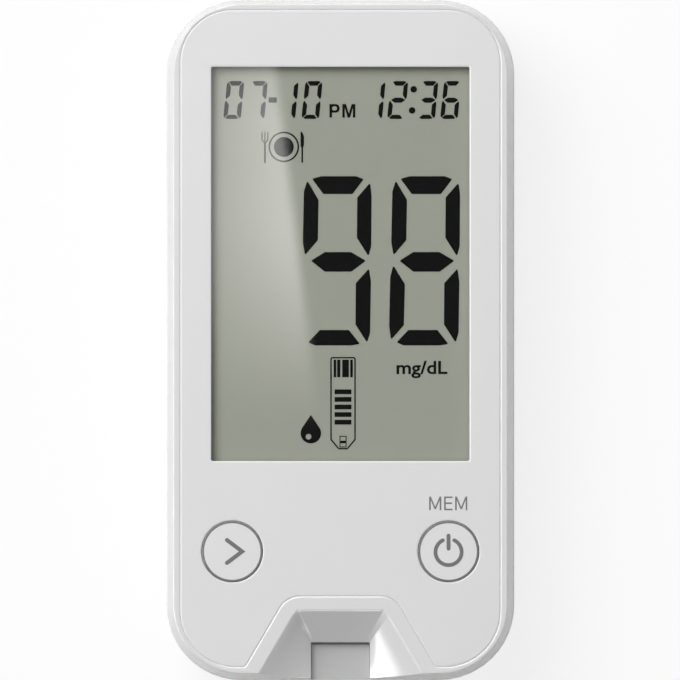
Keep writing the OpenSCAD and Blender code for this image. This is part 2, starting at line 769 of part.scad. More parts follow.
// Conical coil spring along +Y: a round wire swept along a helix whose radius shrinks
module coil_spring(length, turns) {
    per_turn = 14;
    sides = 6;
    r0 = 0.34 * battery_d;
    r1 = 0.22 * battery_d;
    n = turns * per_turn;
    span = length - wire_r;
    points = [for (i = [0:n], k = [0:sides - 1])
        let (
            s = i / n,
            a = 360 * i / per_turn,
            r = r0 + (r1 - r0) * s + wire_r * cos(360 * k / sides),
            y = span * s + wire_r * sin(360 * k / sides)
        )
        [r * cos(a), y, r * sin(a)]];
    walls = [for (i = [0:n - 1], k = [0:sides - 1])
        let (a = i * sides + k, b = i * sides + (k + 1) % sides)
        each [[a, a + sides, b + sides], [a, b + sides, b]]];
    caps = [[for (k = [0:sides - 1]) k], [for (k = [0:sides - 1]) n * sides + sides - 1 - k]];
    polyhedron(points, concat(walls, caps));
}

// Contact plate for one cell, with the tab that goes up to the board
module contact_plate() {
    translate([-plate_w / 2, 0, -plate_h / 2]) cube([plate_w, plate_t, plate_h]);
    translate([-tab_w / 2, 0, 0]) cube([tab_w, plate_t, board_z - battery_z]);
}

// Plate with a spring for the left cell, joined to the flat plate of the right cell
module battery_link() color("silver") translate([0, bay_y0, battery_z]) {
    both_sides() translate([cell_x, 0, 0]) contact_plate();
    translate([-cell_x, 0, -plate_h / 4]) cube([2 * cell_x, plate_t, plate_h / 2]);
    translate([-cell_x, plate_t, 0]) coil_spring(spring_l, spring_turns);
}

module battery_positive() color("silver")
    translate([-cell_x, bay_y1, battery_z]) mirror([0, 1, 0]) contact_plate();

module battery_negative() color("silver") translate([cell_x, bay_y1, battery_z]) mirror([0, 1, 0]) {
    contact_plate();
    translate([0, plate_t, 0]) coil_spring(spring_l, spring_turns);
}

// ---------------------------------------------------------------- battery door

// Side view of the door: a flat skin of length flat, the elliptical corner and the wrap up the end
function door_profile(flat) =
    let (
        a = back_round - door_recess,
        b = back_rise - door_recess,
        outer = [for (i = [0:back_n]) let (t = 90 * i / back_n) [end_y + a * sin(t), back_rise - b * cos(t)]],
        inner = [for (i = [back_n:-1:0]) let (t = 90 * i / back_n)
            [end_y + (a - door_t) * sin(t), back_rise - (b - door_t) * cos(t)]]
    )
    concat(
        [if (flat > 0) [end_y - flat, door_recess]],
        outer, [[end_y + a, wrap_height], [end_y + a - door_t, wrap_height]], inner,
        [if (flat > 0) [end_y - flat, bay_floor_z]]
    );

// Sliding door: a skin with tongues along three edges, wider where it wraps up the end
module battery_door() color("gainsboro") {
    grip_y0 = half_l - 21;
    grip_y1 = half_l - 10;
    grip_x = 7;
    grip_depth = 0.5;
    grip_pitch = (grip_y1 - grip_y0) / (grip_count + 1);
    difference() {
        union() {
            rotate([90, 0, 90]) linear_extrude(2 * door_x, center = true)
                polygon(door_profile(end_y - door_y0));
            rotate([90, 0, 90]) linear_extrude(2 * tongue_x, center = true) polygon(door_profile(0));
            block([-tongue_x, door_y0 - tongue, tongue_z], [tongue_x, end_y, bay_floor_z]);
        }
        // Sunk thumb grip
        translate([0, 0, -past]) linear_extrude(past + door_recess + grip_depth)
            polygon(rounded_box(-grip_x, grip_x, grip_y0, grip_y1, 3, 3));
        // Sunk arrow that points the way the door slides
        translate([0, grip_y1 + 1.5, -past]) linear_extrude(past + door_recess + 0.2)
            polygon([[-1.6, 0], [1.6, 0], [0, 2.2]]);
    }
    // Grip ribs
    for (i = [1:grip_count])
        translate([0, grip_y0 + i * grip_pitch, door_recess])
            block([1.5 - grip_x, -0.35, 0], [grip_x - 1.5, 0.35, grip_depth + fit]);
}

// ---------------------------------------------------------------- fasteners

// Pan head screw that points up, its head under the origin, with a cross slot
module screw(r, head, height, length) {
    difference() {
        union() {
            translate([0, 0, -height]) cylinder(r1 = 0.75 * head, r2 = head, h = 0.35 * height);
            translate([0, 0, -0.65 * height]) cylinder(r = head, h = 0.65 * height);
            cylinder(r = r, h = length);
        }
        for (a = [0, 90]) rotate(a) translate([-0.55 * head, -0.15 * head, -height - past])
            cube([1.1 * head, 0.3 * head, past + 0.5 * height]);
    }
}

module case_screws() color("silver")
    at_case_screws() translate([0, 0, seat_z]) screw(screw_r, head_r, head_h, screw_l);

module board_screws() color("silver")
    both_sides() translate([board_screw[0], board_screw[1], board_z])
        screw(board_screw_r, board_screw_r + 0.7, 0.9, board_t + ceiling_z - board_top_z - 0.3);

// ---------------------------------------------------------------- nodes

front_cover();
rear_cover();
front_panel();
display_window();
display_gasket();
lcd_front_glass();
lcd_rear_glass();
lcd_reflector();
lcd_holder();
zebra_strip();
key_next();
key_power();
dome_next();
dome_power();
main_board();
processor_chip();
memory_chip();
board_components();
buzzer();
strip_connector();
strip_contacts();
strip_guide();
battery_left();
battery_right();
battery_link();
battery_positive();
battery_negative();
battery_door();
case_screws();
board_screws();
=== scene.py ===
"""Visible pieces and finishes of a blood glucose meter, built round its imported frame.

The meter lies on its back. X runs to the right across the display, Y along the case away from the
strip port, and Z up out of the display. Sizes are in millimetres, and a mesh is made in metres.
"""
import logging
from dataclasses import dataclass, field, replace
from enum import Enum
from functools import cache

import bmesh
import bpy
import numpy as np
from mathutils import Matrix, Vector
from mathutils.geometry import tessellate_polygon


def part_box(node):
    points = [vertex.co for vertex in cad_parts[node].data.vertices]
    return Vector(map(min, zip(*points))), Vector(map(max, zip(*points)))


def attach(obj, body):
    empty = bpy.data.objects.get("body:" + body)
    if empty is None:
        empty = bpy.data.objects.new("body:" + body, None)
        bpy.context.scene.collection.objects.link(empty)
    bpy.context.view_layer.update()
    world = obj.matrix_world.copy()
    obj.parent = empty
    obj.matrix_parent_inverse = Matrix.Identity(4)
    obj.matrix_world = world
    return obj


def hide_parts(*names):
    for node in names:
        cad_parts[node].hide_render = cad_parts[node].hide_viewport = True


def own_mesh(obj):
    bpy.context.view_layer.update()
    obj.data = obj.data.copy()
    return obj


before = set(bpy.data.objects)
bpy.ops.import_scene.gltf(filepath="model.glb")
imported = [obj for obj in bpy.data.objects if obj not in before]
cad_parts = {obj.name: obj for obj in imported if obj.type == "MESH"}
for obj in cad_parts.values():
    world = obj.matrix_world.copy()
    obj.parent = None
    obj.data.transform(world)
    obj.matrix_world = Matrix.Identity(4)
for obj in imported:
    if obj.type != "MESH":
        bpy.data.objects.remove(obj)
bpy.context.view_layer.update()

Array = np.ndarray
Colour = tuple[float, float, float]
MM = 0.001
MERGE = 0.002       # points closer than this are one point
PRINT_T = 0.02      # thickness of ink and of a display segment
TUCK = 0.02         # how far a solid that joins another lies inside its faces
ONE_PLANE = np.radians(0.3)     # faces that turn by less than this lie in one plane
WHITE_LIGHT = (1.0, 1.0, 1.0, 1.0)
log = logging.getLogger("meter")


class Body(Enum):
    """Bodies of the frame that pieces ride on."""

    CASE = "case"
    KEY_NEXT = "key_next"
    KEY_POWER = "key_power"
    DOOR = "battery_door"


class Edge(Enum):
    """Angle in degrees from which the edges of a piece are shaded sharp."""

    SOFT = 50
    CRISP = 25


# ------------------------------------------------------------------------------ shapes


def unit(vectors: Array) -> Array:
    """Vectors along the last axis, each divided by its length."""
    return vectors / np.linalg.norm(vectors, axis=-1, keepdims=True)


def quarter(steps: int) -> Array:
    """Angles from 0 to a right angle in equal steps."""
    return np.linspace(0, np.pi / 2, steps + 1)


@dataclass(frozen=True)
class Outline:
    """Closed outline of straight edges and rounded corners, anticlockwise seen from above.

    corners is (..., k, 2) and radii is (..., k), where the leading axes hold a stack of outlines.
    """

    corners: Array
    radii: Array
    steps: int = 10

    @classmethod
    def box(cls, low: Array, high: Array, radius: float = 0.05, steps: int = 10) -> "Outline":
        """Rectangle between two corners with one radius."""
        corners = np.array([low, (high[0], low[1]), high, (low[0], high[1])], float)
        return cls(corners, np.full(4, radius), steps)

    @classmethod
    def circle(cls, centre: Array, radius: float, steps: int = 16) -> "Outline":
        """Circle as a square whose corners have the circle's own radius."""
        half = np.array([radius, radius])
        return cls.box(np.array(centre) - half, np.array(centre) + half, 0.9999 * radius, steps)

    @classmethod
    def polygon(cls, points: Array, radius: float = 0.03, steps: int = 3) -> "Outline":
        """Polygon with slightly rounded corners.

        Args:
            points: Its corners in order, either way round.
            radius: Radius of every corner.
            steps: Steps in each corner.

        Returns:
            The outline, turned anticlockwise.
        """
        corners = np.array(points, float)
        after = np.roll(corners, -1, 0)
        area = (corners[:, 0] * after[:, 1] - after[:, 0] * corners[:, 1]).sum()
        return cls(corners if area > 0 else corners[::-1], np.full(len(corners), radius), steps)

    @classmethod
    def stroke(cls, path: Array, width: float, steps: int = 6) -> "Outline":
        """Line of a width along an open path, with round ends.

        Each point moves sideways by half the width over the cosine of half the turn there, but
        by no more than at the least cosine, and the ends move out by half the width.

        Args:
            path: Points (n, 2) of the middle of the line.
            width: Its width.
            steps: Steps in each corner.

        Returns:
            The outline, whose ends have nearly half the width as their radius.
        """
        least_cosine, bend_r, end_r = 0.3, width / 60, 0.4999 * width
        path = np.array(path, float)
        legs = unit(np.diff(path, axis=0))
        legs = np.vstack([legs[:1], legs, legs[-1:]])
        middle = unit(legs[:-1] + legs[1:])
        side = np.stack([-middle[:, 1], middle[:, 0]], -1)
        reach = width / 2 / np.clip((middle * legs[1:]).sum(1, keepdims=True), least_cosine, 1)
        ends = path.copy()
        ends[0] -= legs[0] * width / 2
        ends[-1] += legs[-1] * width / 2
        corners = np.vstack([ends - side * reach, (ends + side * reach)[::-1]])
        n = len(path)
        radii = np.full(2 * n, bend_r)
        radii[[0, n - 1, n, 2 * n - 1]] = end_r
        return cls(corners, radii, steps)

    def moved(self, inset: Array) -> "Outline":
        """Outline with each edge moved inwards by its inset.

        Edge j runs from corner j to corner j + 1, and n is its inward normal. Where edges with
        normals m and n and insets a and b meet, and c is the product of m and n, the corner moves
        by ((a - b c) m + (b - a c) n) / (1 - c c). A corner that bulges loses the mean of its two
        insets from its radius, and a hollow one gains it.

        Args:
            inset: One number, or an array (..., 1) or (..., k) with a value for each edge.

        Returns:
            The moved outline, or a stack of them where inset has leading axes.
        """
        after_in = np.broadcast_to(inset, np.broadcast_shapes(np.shape(inset), self.radii.shape))
        before_in = np.roll(after_in, 1, -1)
        along = unit(np.roll(self.corners, -1, -2) - self.corners)
        after = np.stack([-along[..., 1], along[..., 0]], -1)
        before = np.roll(after, 1, -2)
        cosine = (before * after).sum(-1)
        bulge = np.sign(before[..., 0] * after[..., 1] - before[..., 1] * after[..., 0])
        spread = np.maximum(1 - cosine**2, 1e-9)
        shift = ((before_in - after_in * cosine) / spread)[..., None] * before
        shift = shift + ((after_in - before_in * cosine) / spread)[..., None] * after
        radii = np.maximum(self.radii - bulge * (before_in + after_in) / 2, MERGE)
        return replace(self, corners=self.corners + shift, radii=radii)

    def at(self, number: int) -> "Outline":
        """One outline of a stack."""
        return replace(self, corners=self.corners[number], radii=self.radii[number])

    def points(self) -> Array:
        """Draws the outline.

        With u and v the unit vectors from a corner to its neighbours and h half the angle between
        them, the arc's centre lies r / sin h along u + v, and the arc runs from r / tan h along u
        to r / tan h along v.

        Returns:
            Points (..., k * (steps + 1), 2), with the arc of the first corner first.
        """
        u = unit(np.roll(self.corners, 1, -2) - self.corners)
        v = unit(np.roll(self.corners, -1, -2) - self.corners)
        half = np.arccos(np.clip((u * v).sum(-1), -1, 1)) / 2
        reach = (self.radii / np.tan(half))[..., None]
        centre = self.corners + unit(u + v) * (self.radii / np.sin(half))[..., None]
        start = self.corners + u * reach - centre
        end = self.corners + v * reach - centre
        first = np.arctan2(start[..., 1], start[..., 0])
        turn = (np.arctan2(end[..., 1], end[..., 0]) - first + np.pi) % (2 * np.pi) - np.pi
        angle = first[..., None] + turn[..., None] * np.linspace(0, 1, self.steps + 1)
        circle = np.stack([np.cos(angle), np.sin(angle)], -1)
        arcs = centre[..., None, :] + self.radii[..., None, None] * circle
        return arcs.reshape(*arcs.shape[:-3], -1, 2)


@dataclass(frozen=True)
class Surface:
    """Points in millimetres, and faces as rows of point numbers."""

    points: Array
    faces: Array

    def shifted(self, by: Array) -> "Surface":
        """The surface moved by a vector."""
        return replace(self, points=self.points + np.array(by, float))

    def mapped(self, axes: tuple[int, int, int]) -> "Surface":
        """The surface with its coordinates in another order."""
        return replace(self, points=self.points[:, axes])


def grid(points: Array, wrap_u: bool = False) -> Surface:
    """Four-sided faces over an array of points.

    Args:
        points: Array (rows, columns, 3).
        wrap_u: Joins the last column to the first.

    Returns:
        The surface, with a face between each four neighbouring points.
    """
    rows, columns = points.shape[:2]
    number = np.arange(rows * columns).reshape(rows, columns)
    number = np.hstack([number, number[:, :1]]) if wrap_u else number
    faces = np.stack([number[:-1, :-1], number[:-1, 1:], number[1:, 1:], number[1:, :-1]], -1)
    return Surface(points.reshape(-1, 3), faces.reshape(-1, 4))


def rings(outline: Outline, heights: Array) -> Surface:
    """Closed wall through a stack of outlines.

    Args:
        outline: The stack.
        heights: Height of each outline in it.

    Returns:
        The wall, open at its top and bottom.
    """
    flat = outline.points()
    z = np.broadcast_to(np.asarray(heights, float)[:, None, None], (*flat.shape[:2], 1))
    return grid(np.concatenate([flat, z], -1), wrap_u=True)


def upright(outline: Outline, low: float, high: float) -> Surface:
    """Straight wall along one outline between two heights."""
    return rings(outline.moved(np.zeros((2, 1))), [low, high])


def sheet(outer: Outline, holes: list[Outline], z: float) -> Surface:
    """Flat face with openings.

    Args:
        outer: Its outline.
        holes: Outlines of the openings.
        z: Its height.

    Returns:
        The face, cut into triangles.
    """
    loops = []
    for outline in [outer, *holes]:
        flat = outline.points()
        apart = np.linalg.norm(flat - np.roll(flat, 1, 0), axis=1) > MERGE / 2
        loops.append(np.hstack([flat[apart], np.full((apart.sum(), 1), z)]))
    faces = tessellate_polygon([[Vector(p) for p in loop] for loop in loops])
    return Surface(np.vstack(loops), np.array(faces))


def plate(outer: Outline, z: tuple[float, float], holes: tuple[Outline, ...] = (), top: float = 0.0,
          foot: float = 0.0, steps: int = 4, flat: float = 1.0) -> list[Surface]:
    """Flat plate with rounded edges.

    Each wall rises straight and turns in through a quarter of a circle: at angle t the inset is
    r (1 - cos t) and the height r sin t. A flatter upper edge meets the wall at an angle and
    lies f r cos^2 t under the top, where f is flat. The walls of the holes turn outwards in the
    same way.

    Args:
        outer: Outline of the plate.
        z: Lowest and highest height.
        holes: Outlines of the openings through it.
        top: Radius of the upper edges.
        foot: Radius of the lower edges.
        steps: Steps in each rounded edge.
        flat: Depth of the upper rounded edge over its width.

    Returns:
        Its walls, then its lower and its upper face.
    """
    t = quarter(steps)
    inset = np.concatenate([foot * (1 - np.cos(t))[::-1], top * (1 - np.cos(t))])
    drop = top * (1 - np.sin(t)) if flat == 1 else top * flat * np.cos(t) ** 2
    height = np.concatenate([z[0] + foot * (1 - np.sin(t))[::-1], z[1] - drop])
    walls = [rings(outer.moved(inset[:, None]), height)]
    walls += [rings(hole.moved(-inset[:, None]), height) for hole in holes]
    faces = [
        sheet(outer.moved(edge), [hole.moved(-edge) for hole in holes], level)
        for edge, level in ((foot, z[0]), (top, z[1]))
    ]
    return walls + faces


def block(low: Array, high: Array, edge: float = 0.05) -> list[Surface]:
    """Box between two corners with rounded edges."""
    outline = Outline.box(np.array(low[:2]), np.array(high[:2]), edge, 2)
    return plate(outline, (low[2], high[2]), top=edge / 2, foot=edge / 2, steps=2)


def revolved(profile: Array, centre: Array, steps: int = 64) -> Surface:
    """Surface swept by a profile turned about an upright axis.

    Args:
        profile: Points (radius, height) along the profile.
        centre: Place (x, y) of the axis.
        steps: Steps in a full turn.

    Returns:
        The surface.
    """
    angle = np.linspace(0, 2 * np.pi, steps, endpoint=False)
    radius, height = np.array(profile, float).T
    x = centre[0] + radius[:, None] * np.cos(angle)
    y = centre[1] + radius[:, None] * np.sin(angle)
    z = np.broadcast_to(height[:, None], x.shape)
    return grid(np.stack([x, y, z], -1), wrap_u=True)


def rounded_profile(corners: Array, radii: Array, steps: int = 5) -> Array:
    """Rounds the corners of a profile that starts and ends on an axis.

    The profile and its mirror image make one outline, and one half of it is kept.

    Args:
        corners: Corners (radius, height) away from the axis.
        radii: Radius of each corner.
        steps: Steps in each corner.

    Returns:
        Points (radius, height), of which the first and the last lie on the axis.
    """
    corners = np.array(corners, float)
    mirrored = np.vstack([corners, (corners * [-1, 1])[::-1]])
    both = np.concatenate([radii, radii[::-1]])
    points = Outline(mirrored, np.maximum(both, MERGE / 4), steps).points()
    half = points[: len(corners) * (steps + 1)]
    return np.vstack([[0, corners[0, 1]], half, [0, corners[-1, 1]]])


def tube(path: Array, radius: float, sides: int = 10) -> Surface:
    """Round tube along a path that winds about Y, closed at both ends.

    At each point the ring lies in the plane of the side and lift vectors: side is the tangent
    crossed with Y, and lift is side crossed with tangent. The first and last rings shrink to a
    point.

    Args:
        path: Points (n, 3) of the middle of the tube.
        radius: Its radius.
        sides: Points in each ring.

    Returns:
        The closed surface.
    """
    tangent = unit(np.gradient(path, axis=0))
    side = unit(np.cross(tangent, (0.0, 1.0, 0.0)))
    lift = np.cross(side, tangent)
    angle = np.linspace(0, 2 * np.pi, sides, endpoint=False)
    ring = np.cos(angle)[:, None] * side[:, None] + np.sin(angle)[:, None] * lift[:, None]
    points = path[:, None] + radius * ring
    ends = [np.broadcast_to(end, points[:1].shape) for end in (path[0], path[-1])]
    return grid(np.concatenate([ends[0], points, ends[1]]), wrap_u=True)


def text_surface(text: str, low: Array, size: Array, z: float, weight: float = 0.0) -> Surface:
    """Lettering as a thin plate that fills a rectangle.

    Args:
        text: The letters.
        low: Lower left corner of the rectangle.
        size: Its width and height.
        z: Height of its underside.
        weight: How much each stroke grows, in the font's own units.

    Returns:
        The lettering.
    """
    curve = bpy.data.curves.new("lettering", "FONT")
    curve.body = text
    curve.offset = weight
    curve.extrude = 0.5
    curve.resolution_u = 4
    holder = bpy.data.objects.new("lettering", curve)
    mesh = bpy.data.meshes.new_from_object(holder)
    points = np.zeros(len(mesh.vertices) * 3)
    mesh.vertices.foreach_get("co", points)
    mesh.calc_loop_triangles()
    faces = np.zeros(len(mesh.loop_triangles) * 3, int)
    mesh.loop_triangles.foreach_get("vertices", faces)
    bpy.data.objects.remove(holder)
    bpy.data.curves.remove(curve)
    points = points.reshape(-1, 3)
    bottom, reach = points.min(0), np.ptp(points, axis=0)
    scaled = (points - bottom) / reach * [*size, PRINT_T] + [*low, z]
    return Surface(scaled, faces.reshape(-1, 3))


# ------------------------------------------------------------------------------ pieces


def finish_mesh(mesh: bpy.types.Mesh, turn: bool, edge: Edge) -> None:
    """Merges a mesh's doubles, drops its empty faces and smooths it.

    Args:
        mesh: The mesh.
        turn: Whether its faces are turned to point outwards.
        edge: Which of its edges stay sharp.
    """
    work = bmesh.new()
    work.from_mesh(mesh)
    bmesh.ops.remove_doubles(work, verts=work.verts, dist=MERGE * MM)
    bmesh.ops.dissolve_degenerate(work, edges=work.edges, dist=MERGE * MM / 4)
    loose = [v for v in work.verts if not v.link_faces]
    bmesh.ops.delete(work, geom=loose, context="VERTS")
    if turn:
        bmesh.ops.recalc_face_normals(work, faces=work.faces)
    work.to_mesh(mesh)
    work.free()
    mesh.polygons.foreach_set("use_smooth", np.ones(len(mesh.polygons), bool))
    mesh.set_sharp_from_angle(angle=np.radians(edge.value))


def new_mesh(name: str, surfaces: list[Surface]) -> bpy.types.Mesh:
    """Puts surfaces into one mesh.

    Args:
        name: Name of the mesh.
        surfaces: The surfaces, in millimetres.

    Returns:
        The mesh, in metres.
    """
    starts = np.cumsum([0] + [len(s.points) for s in surfaces])
    faces = [face for s, start in zip(surfaces, starts) for face in (s.faces + start).tolist()]
    mesh = bpy.data.meshes.new(name)
    mesh.from_pydata(np.vstack([s.points for s in surfaces]) * MM, [], faces)
    return mesh


@dataclass(frozen=True)
class Place:
    """What a new piece rides on and stands for."""

    body: Body
    slot: str
    nodes: tuple[str, ...] = ()


def add_piece(name: str, mesh: bpy.types.Mesh, material: bpy.types.Material, place: Place,
              bevel: float = 0.0) -> bpy.types.Object:
    """Puts a mesh into the scene as a piece of the meter.

    Args:
        name: Name of the piece.
        mesh: Its mesh, in metres.
        material: Its finish.
        place: Its body and the nodes that it replaces; its slot is not used.
        bevel: Width of a Bevel modifier, or 0 for none.

    Returns:
        The piece.
    """
    piece = bpy.data.objects.new(name, mesh)
    bpy.context.scene.collection.objects.link(piece)
    mesh.materials.clear()
    mesh.materials.append(material)
    if bevel:
        rounding = piece.modifiers.new("edges", "BEVEL")
        rounding.width = bevel * MM
        rounding.segments = 2
        rounding.limit_method = "ANGLE"
        rounding.angle_limit = np.radians(Edge.SOFT.value)
        rounding.use_clamp_overlap = False
        rounding.harden_normals = True
    weights = piece.modifiers.new("normals", "WEIGHTED_NORMAL")
    weights.keep_sharp = True
    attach(piece, place.body.value)
    if place.nodes:
        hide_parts(*place.nodes)
    log.info("%-22s %6d faces, rides on %s", name, len(mesh.polygons), place.body.value)
    return piece


def shape_piece(name: str, surfaces: list[Surface], material: bpy.types.Material, place: Place,
                edge: Edge = Edge.SOFT) -> bpy.types.Object:
    """Makes a piece of surfaces whose edges meet.

    Args:
        name: Name of the piece.
        surfaces: The surfaces.
        material: Its finish.
        place: Its body and the nodes that it replaces; its slot is not used.
        edge: Which of its edges stay sharp.

    Returns:
        The piece.
    """
    mesh = new_mesh(name, surfaces)
    finish_mesh(mesh, True, edge)
    return add_piece(name, mesh, material, place)


def frame_piece(node: str, material: bpy.types.Material, place: Place, bevel: float = 0.0) -> None:
    """Makes a smooth copy of a node of the frame that stands for it.

    Where its edges get rounded, faces in one plane are joined first.

    Args:
        node: The node.
        material: Its finish.
        place: Its body; its slot is not used.
        bevel: Width of the rounded edges, or 0 for none.
    """
    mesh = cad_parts[node].data.copy()
    if mesh.has_custom_normals:
        mesh.attributes.remove(mesh.attributes["custom_normal"])
    finish_mesh(mesh, False, Edge.CRISP)
    if bevel:
        work = bmesh.new()
        work.from_mesh(mesh)
        bmesh.ops.dissolve_limit(work, angle_limit=ONE_PLANE, verts=work.verts, edges=work.edges)
        work.to_mesh(mesh)
        work.free()
    add_piece(f"{node}_finished", mesh, material, replace(place, nodes=(node,)), bevel)


def box_of(node: str) -> Array:
    """Lowest and highest corner of a node of the frame, in millimetres."""
    return np.array([list(corner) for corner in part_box(node)]) / MM


# ------------------------------------------------------------------------------ finishes


class Link:
    """An output in a material, joined to others by Python's operators as Math nodes."""

    def __init__(self, graph: "Graph", socket: bpy.types.NodeSocket):
        """Wraps one output socket of a graph."""
        self.graph = graph
        self.socket = socket

    def _math(self, operation: str, *values: "Link | float") -> "Link":
        """One Math node on two or three values."""
        return self.graph.node("ShaderNodeMath", {"operation": operation}, dict(enumerate(values)))

    def __add__(self, other: "Link | float") -> "Link":
        """The sum."""
        return self._math("ADD", self, other)

    def __sub__(self, other: "Link | float") -> "Link":
        """The difference."""
        return self._math("SUBTRACT", self, other)

    def __rsub__(self, other: float) -> "Link":
        """A number less this value."""
        return self._math("SUBTRACT", other, self)

    def __mul__(self, other: "Link | float") -> "Link":
        """The product."""
        return self._math("MULTIPLY", self, other)

    __radd__ = __add__
    __rmul__ = __mul__

    def above(self, level: float, soft: float) -> "Link":
        """0 below a level and 1 above it, with a smooth rise of a width between."""
        limits = {0: self, 1: level - soft / 2, 2: level + soft / 2}
        return self.graph.node("ShaderNodeMapRange", {"interpolation_type": "SMOOTHSTEP"}, limits)


class Graph:
    """The nodes of one material or world."""

    def __init__(self, owner: bpy.types.Material | bpy.types.World):
        """Starts with no nodes.

        Args:
            owner: The material or world.
        """
        self.owner = owner
        self.owner.use_nodes = True
        self.owner.node_tree.nodes.clear()

    def node(self, kind: str, settings: dict | None = None, inputs: dict | None = None,
             output: int | str = 0) -> Link:
        """Adds one node.

        Args:
            kind: Blender's name of the node type.
            settings: Properties of the node.
            inputs: Values or links by the name or number of the socket.
            output: Name or number of the output to use.

        Returns:
            That output.
        """
        tree = self.owner.node_tree
        made = tree.nodes.new(kind)
        for name, value in (settings or {}).items():
            setattr(made, name, value)
        for name, value in (inputs or {}).items():
            if isinstance(value, Link):
                tree.links.new(value.socket, made.inputs[name])
            else:
                made.inputs[name].default_value = value
        return Link(self, made.outputs[output])

    def place(self) -> Link:
        """Object coordinates, in metres."""
        return self.node("ShaderNodeTexCoord", output="Object")

    def axis(self, name: str) -> Link:
        """One object coordinate, in metres."""
        return self.node("ShaderNodeSeparateXYZ", inputs={0: self.place()}, output=name)

    def noise(self, size: float, detail: float = 2.0, stretch: Array = (1.0, 1.0, 1.0)) -> Link:
        """Noise from 0 to 1 whose patches are about a size in millimetres across."""
        scaled = self.node("ShaderNodeVectorMath", {"operation": "MULTIPLY"},
                           {0: self.place(), 1: tuple(1 / (size * MM * s) for s in stretch)})
        return self.node("ShaderNodeTexNoise", None,
                         {"Vector": scaled, "Scale": 1.0, "Detail": detail})

    def cells(self, size: float, metric: str = "EUCLIDEAN") -> Link:
        """Distance from the middles of irregular cells about a size in millimetres across."""
        return self.node("ShaderNodeTexVoronoi", {"distance": metric},
                         {"Vector": self.place(), "Scale": 1 / (size * MM)}, "Distance")

    def blend(self, share: Link, first: Colour | Link, second: Colour | Link) -> Link:
        """Colour between two by a share."""
        first, second = ((*end, 1.0) if isinstance(end, tuple) else end for end in (first, second))
        return self.node("ShaderNodeMix", {"data_type": "RGBA"}, {0: share, 6: first, 7: second}, 2)

    def shade(self, share: Link, colour: Colour, darker: float, lighter: float) -> Link:
        """A colour that goes from darker by one share to lighter by another."""
        return self.blend(share, tinted(colour, -darker), tinted(colour, lighter))

    def bump(self, height: Link, depth: float) -> Link:
        """Normal tilted by a height from 0 to 1 that stands for a depth in millimetres."""
        return self.node("ShaderNodeBump", None, {"Height": height, "Distance": depth * MM})

    def surface(self, shader: Link, kind: str = "ShaderNodeOutputMaterial") -> bpy.types.ID:
        """Links a shader to an output node.

        Args:
            shader: The shader.
            kind: Blender's name of the output node's type.

        Returns:
            The finished material or world.
        """
        tree = self.owner.node_tree
        tree.links.new(shader.socket, tree.nodes.new(kind).inputs[0])
        return self.owner

    def principled(self, inputs: dict) -> bpy.types.Material:
        """Material of one Principled shader."""
        return self.surface(self.node("ShaderNodeBsdfPrincipled", None, inputs))


def tinted(colour: Colour, share: float) -> Colour:
    """A colour made lighter, or darker by a share below 0."""
    return tuple(min(max(c * (1 + share), 0.0), 1.0) for c in colour)


@dataclass(frozen=True)
class Moulded:
    """Moulded plastic, with a fine spark-eroded grain and faint clouds in its tone.

    Sizes and depths are in millimetres.
    """

    name: str
    colour: Colour
    roughness: float = 0.4
    cloud: float = 9.0
    grain: float = 0.16
    speck: float = 0.072
    speck_share: float = 0.3
    depth: float = 0.003
    tone: float = 0.015
    wander: float = 0.06

    @cache
    def material(self) -> bpy.types.Material:
        """Colour and roughness wander with broad noise, and the normal with fine noise.

        Returns:
            The material.
        """
        graph = Graph(bpy.data.materials.new(self.name))
        cloud = graph.noise(self.cloud, 3.0)
        fine = graph.noise(self.grain)
        height = fine * (1 - self.speck_share) + graph.noise(self.speck, 1.0) * self.speck_share
        return graph.principled({
            "Base Color": graph.shade(cloud, self.colour, self.tone, self.tone),
            "Roughness": self.roughness - self.wander / 2 + fine * self.wander,
            "Normal": graph.bump(height, self.depth),
        })


@dataclass(frozen=True)
class Ink:
    """Pad-printed ink, with slightly uneven cover."""

    name: str
    colour: Colour
    roughness: float = 0.45
    specular: float = 0.5
    patch: float = 0.25
    wander: float = 0.1
    depth: float = 0.002

    @cache
    def material(self) -> bpy.types.Material:
        """Fine noise makes the ink a little paler and rougher in places.

        Returns:
            The material.
        """
        graph = Graph(bpy.data.materials.new(self.name))
        cover = graph.noise(self.patch, 3.0)
        return graph.principled({
            "Base Color": graph.shade(cover, self.colour, 0.08, 0.12),
            "Roughness": self.roughness + cover * self.wander,
            "Specular IOR Level": self.specular,
            "Normal": graph.bump(cover, self.depth),
        })


@dataclass(frozen=True)
class Clear:
    """Clear polished plastic: what is behind it shows, and it reflects more at a slant."""

    name: str
    index: float = 1.49
    layers: float = 1.8
    roughness: float = 0.02
    tint: Colour = (0.985, 0.99, 0.985)

    @cache
    def material(self) -> bpy.types.Material:
        """A transparent and a glossy shader mixed by Fresnel reflection.

        The outside also stands for the reflections of the layers under it.

        Returns:
            The material.
        """
        graph = Graph(bpy.data.materials.new(self.name))
        clear = graph.node("ShaderNodeBsdfTransparent", None, {"Color": (*self.tint, 1.0)})
        gloss = graph.node("ShaderNodeBsdfGlossy", None, {"Roughness": self.roughness})
        share = graph.node("ShaderNodeFresnel", None, {"IOR": self.index})
        outside = 1 - graph.node("ShaderNodeNewGeometry", output="Backfacing")
        mixed = {0: share * outside * self.layers, 1: clear, 2: gloss}
        return graph.surface(graph.node("ShaderNodeMixShader", None, mixed))


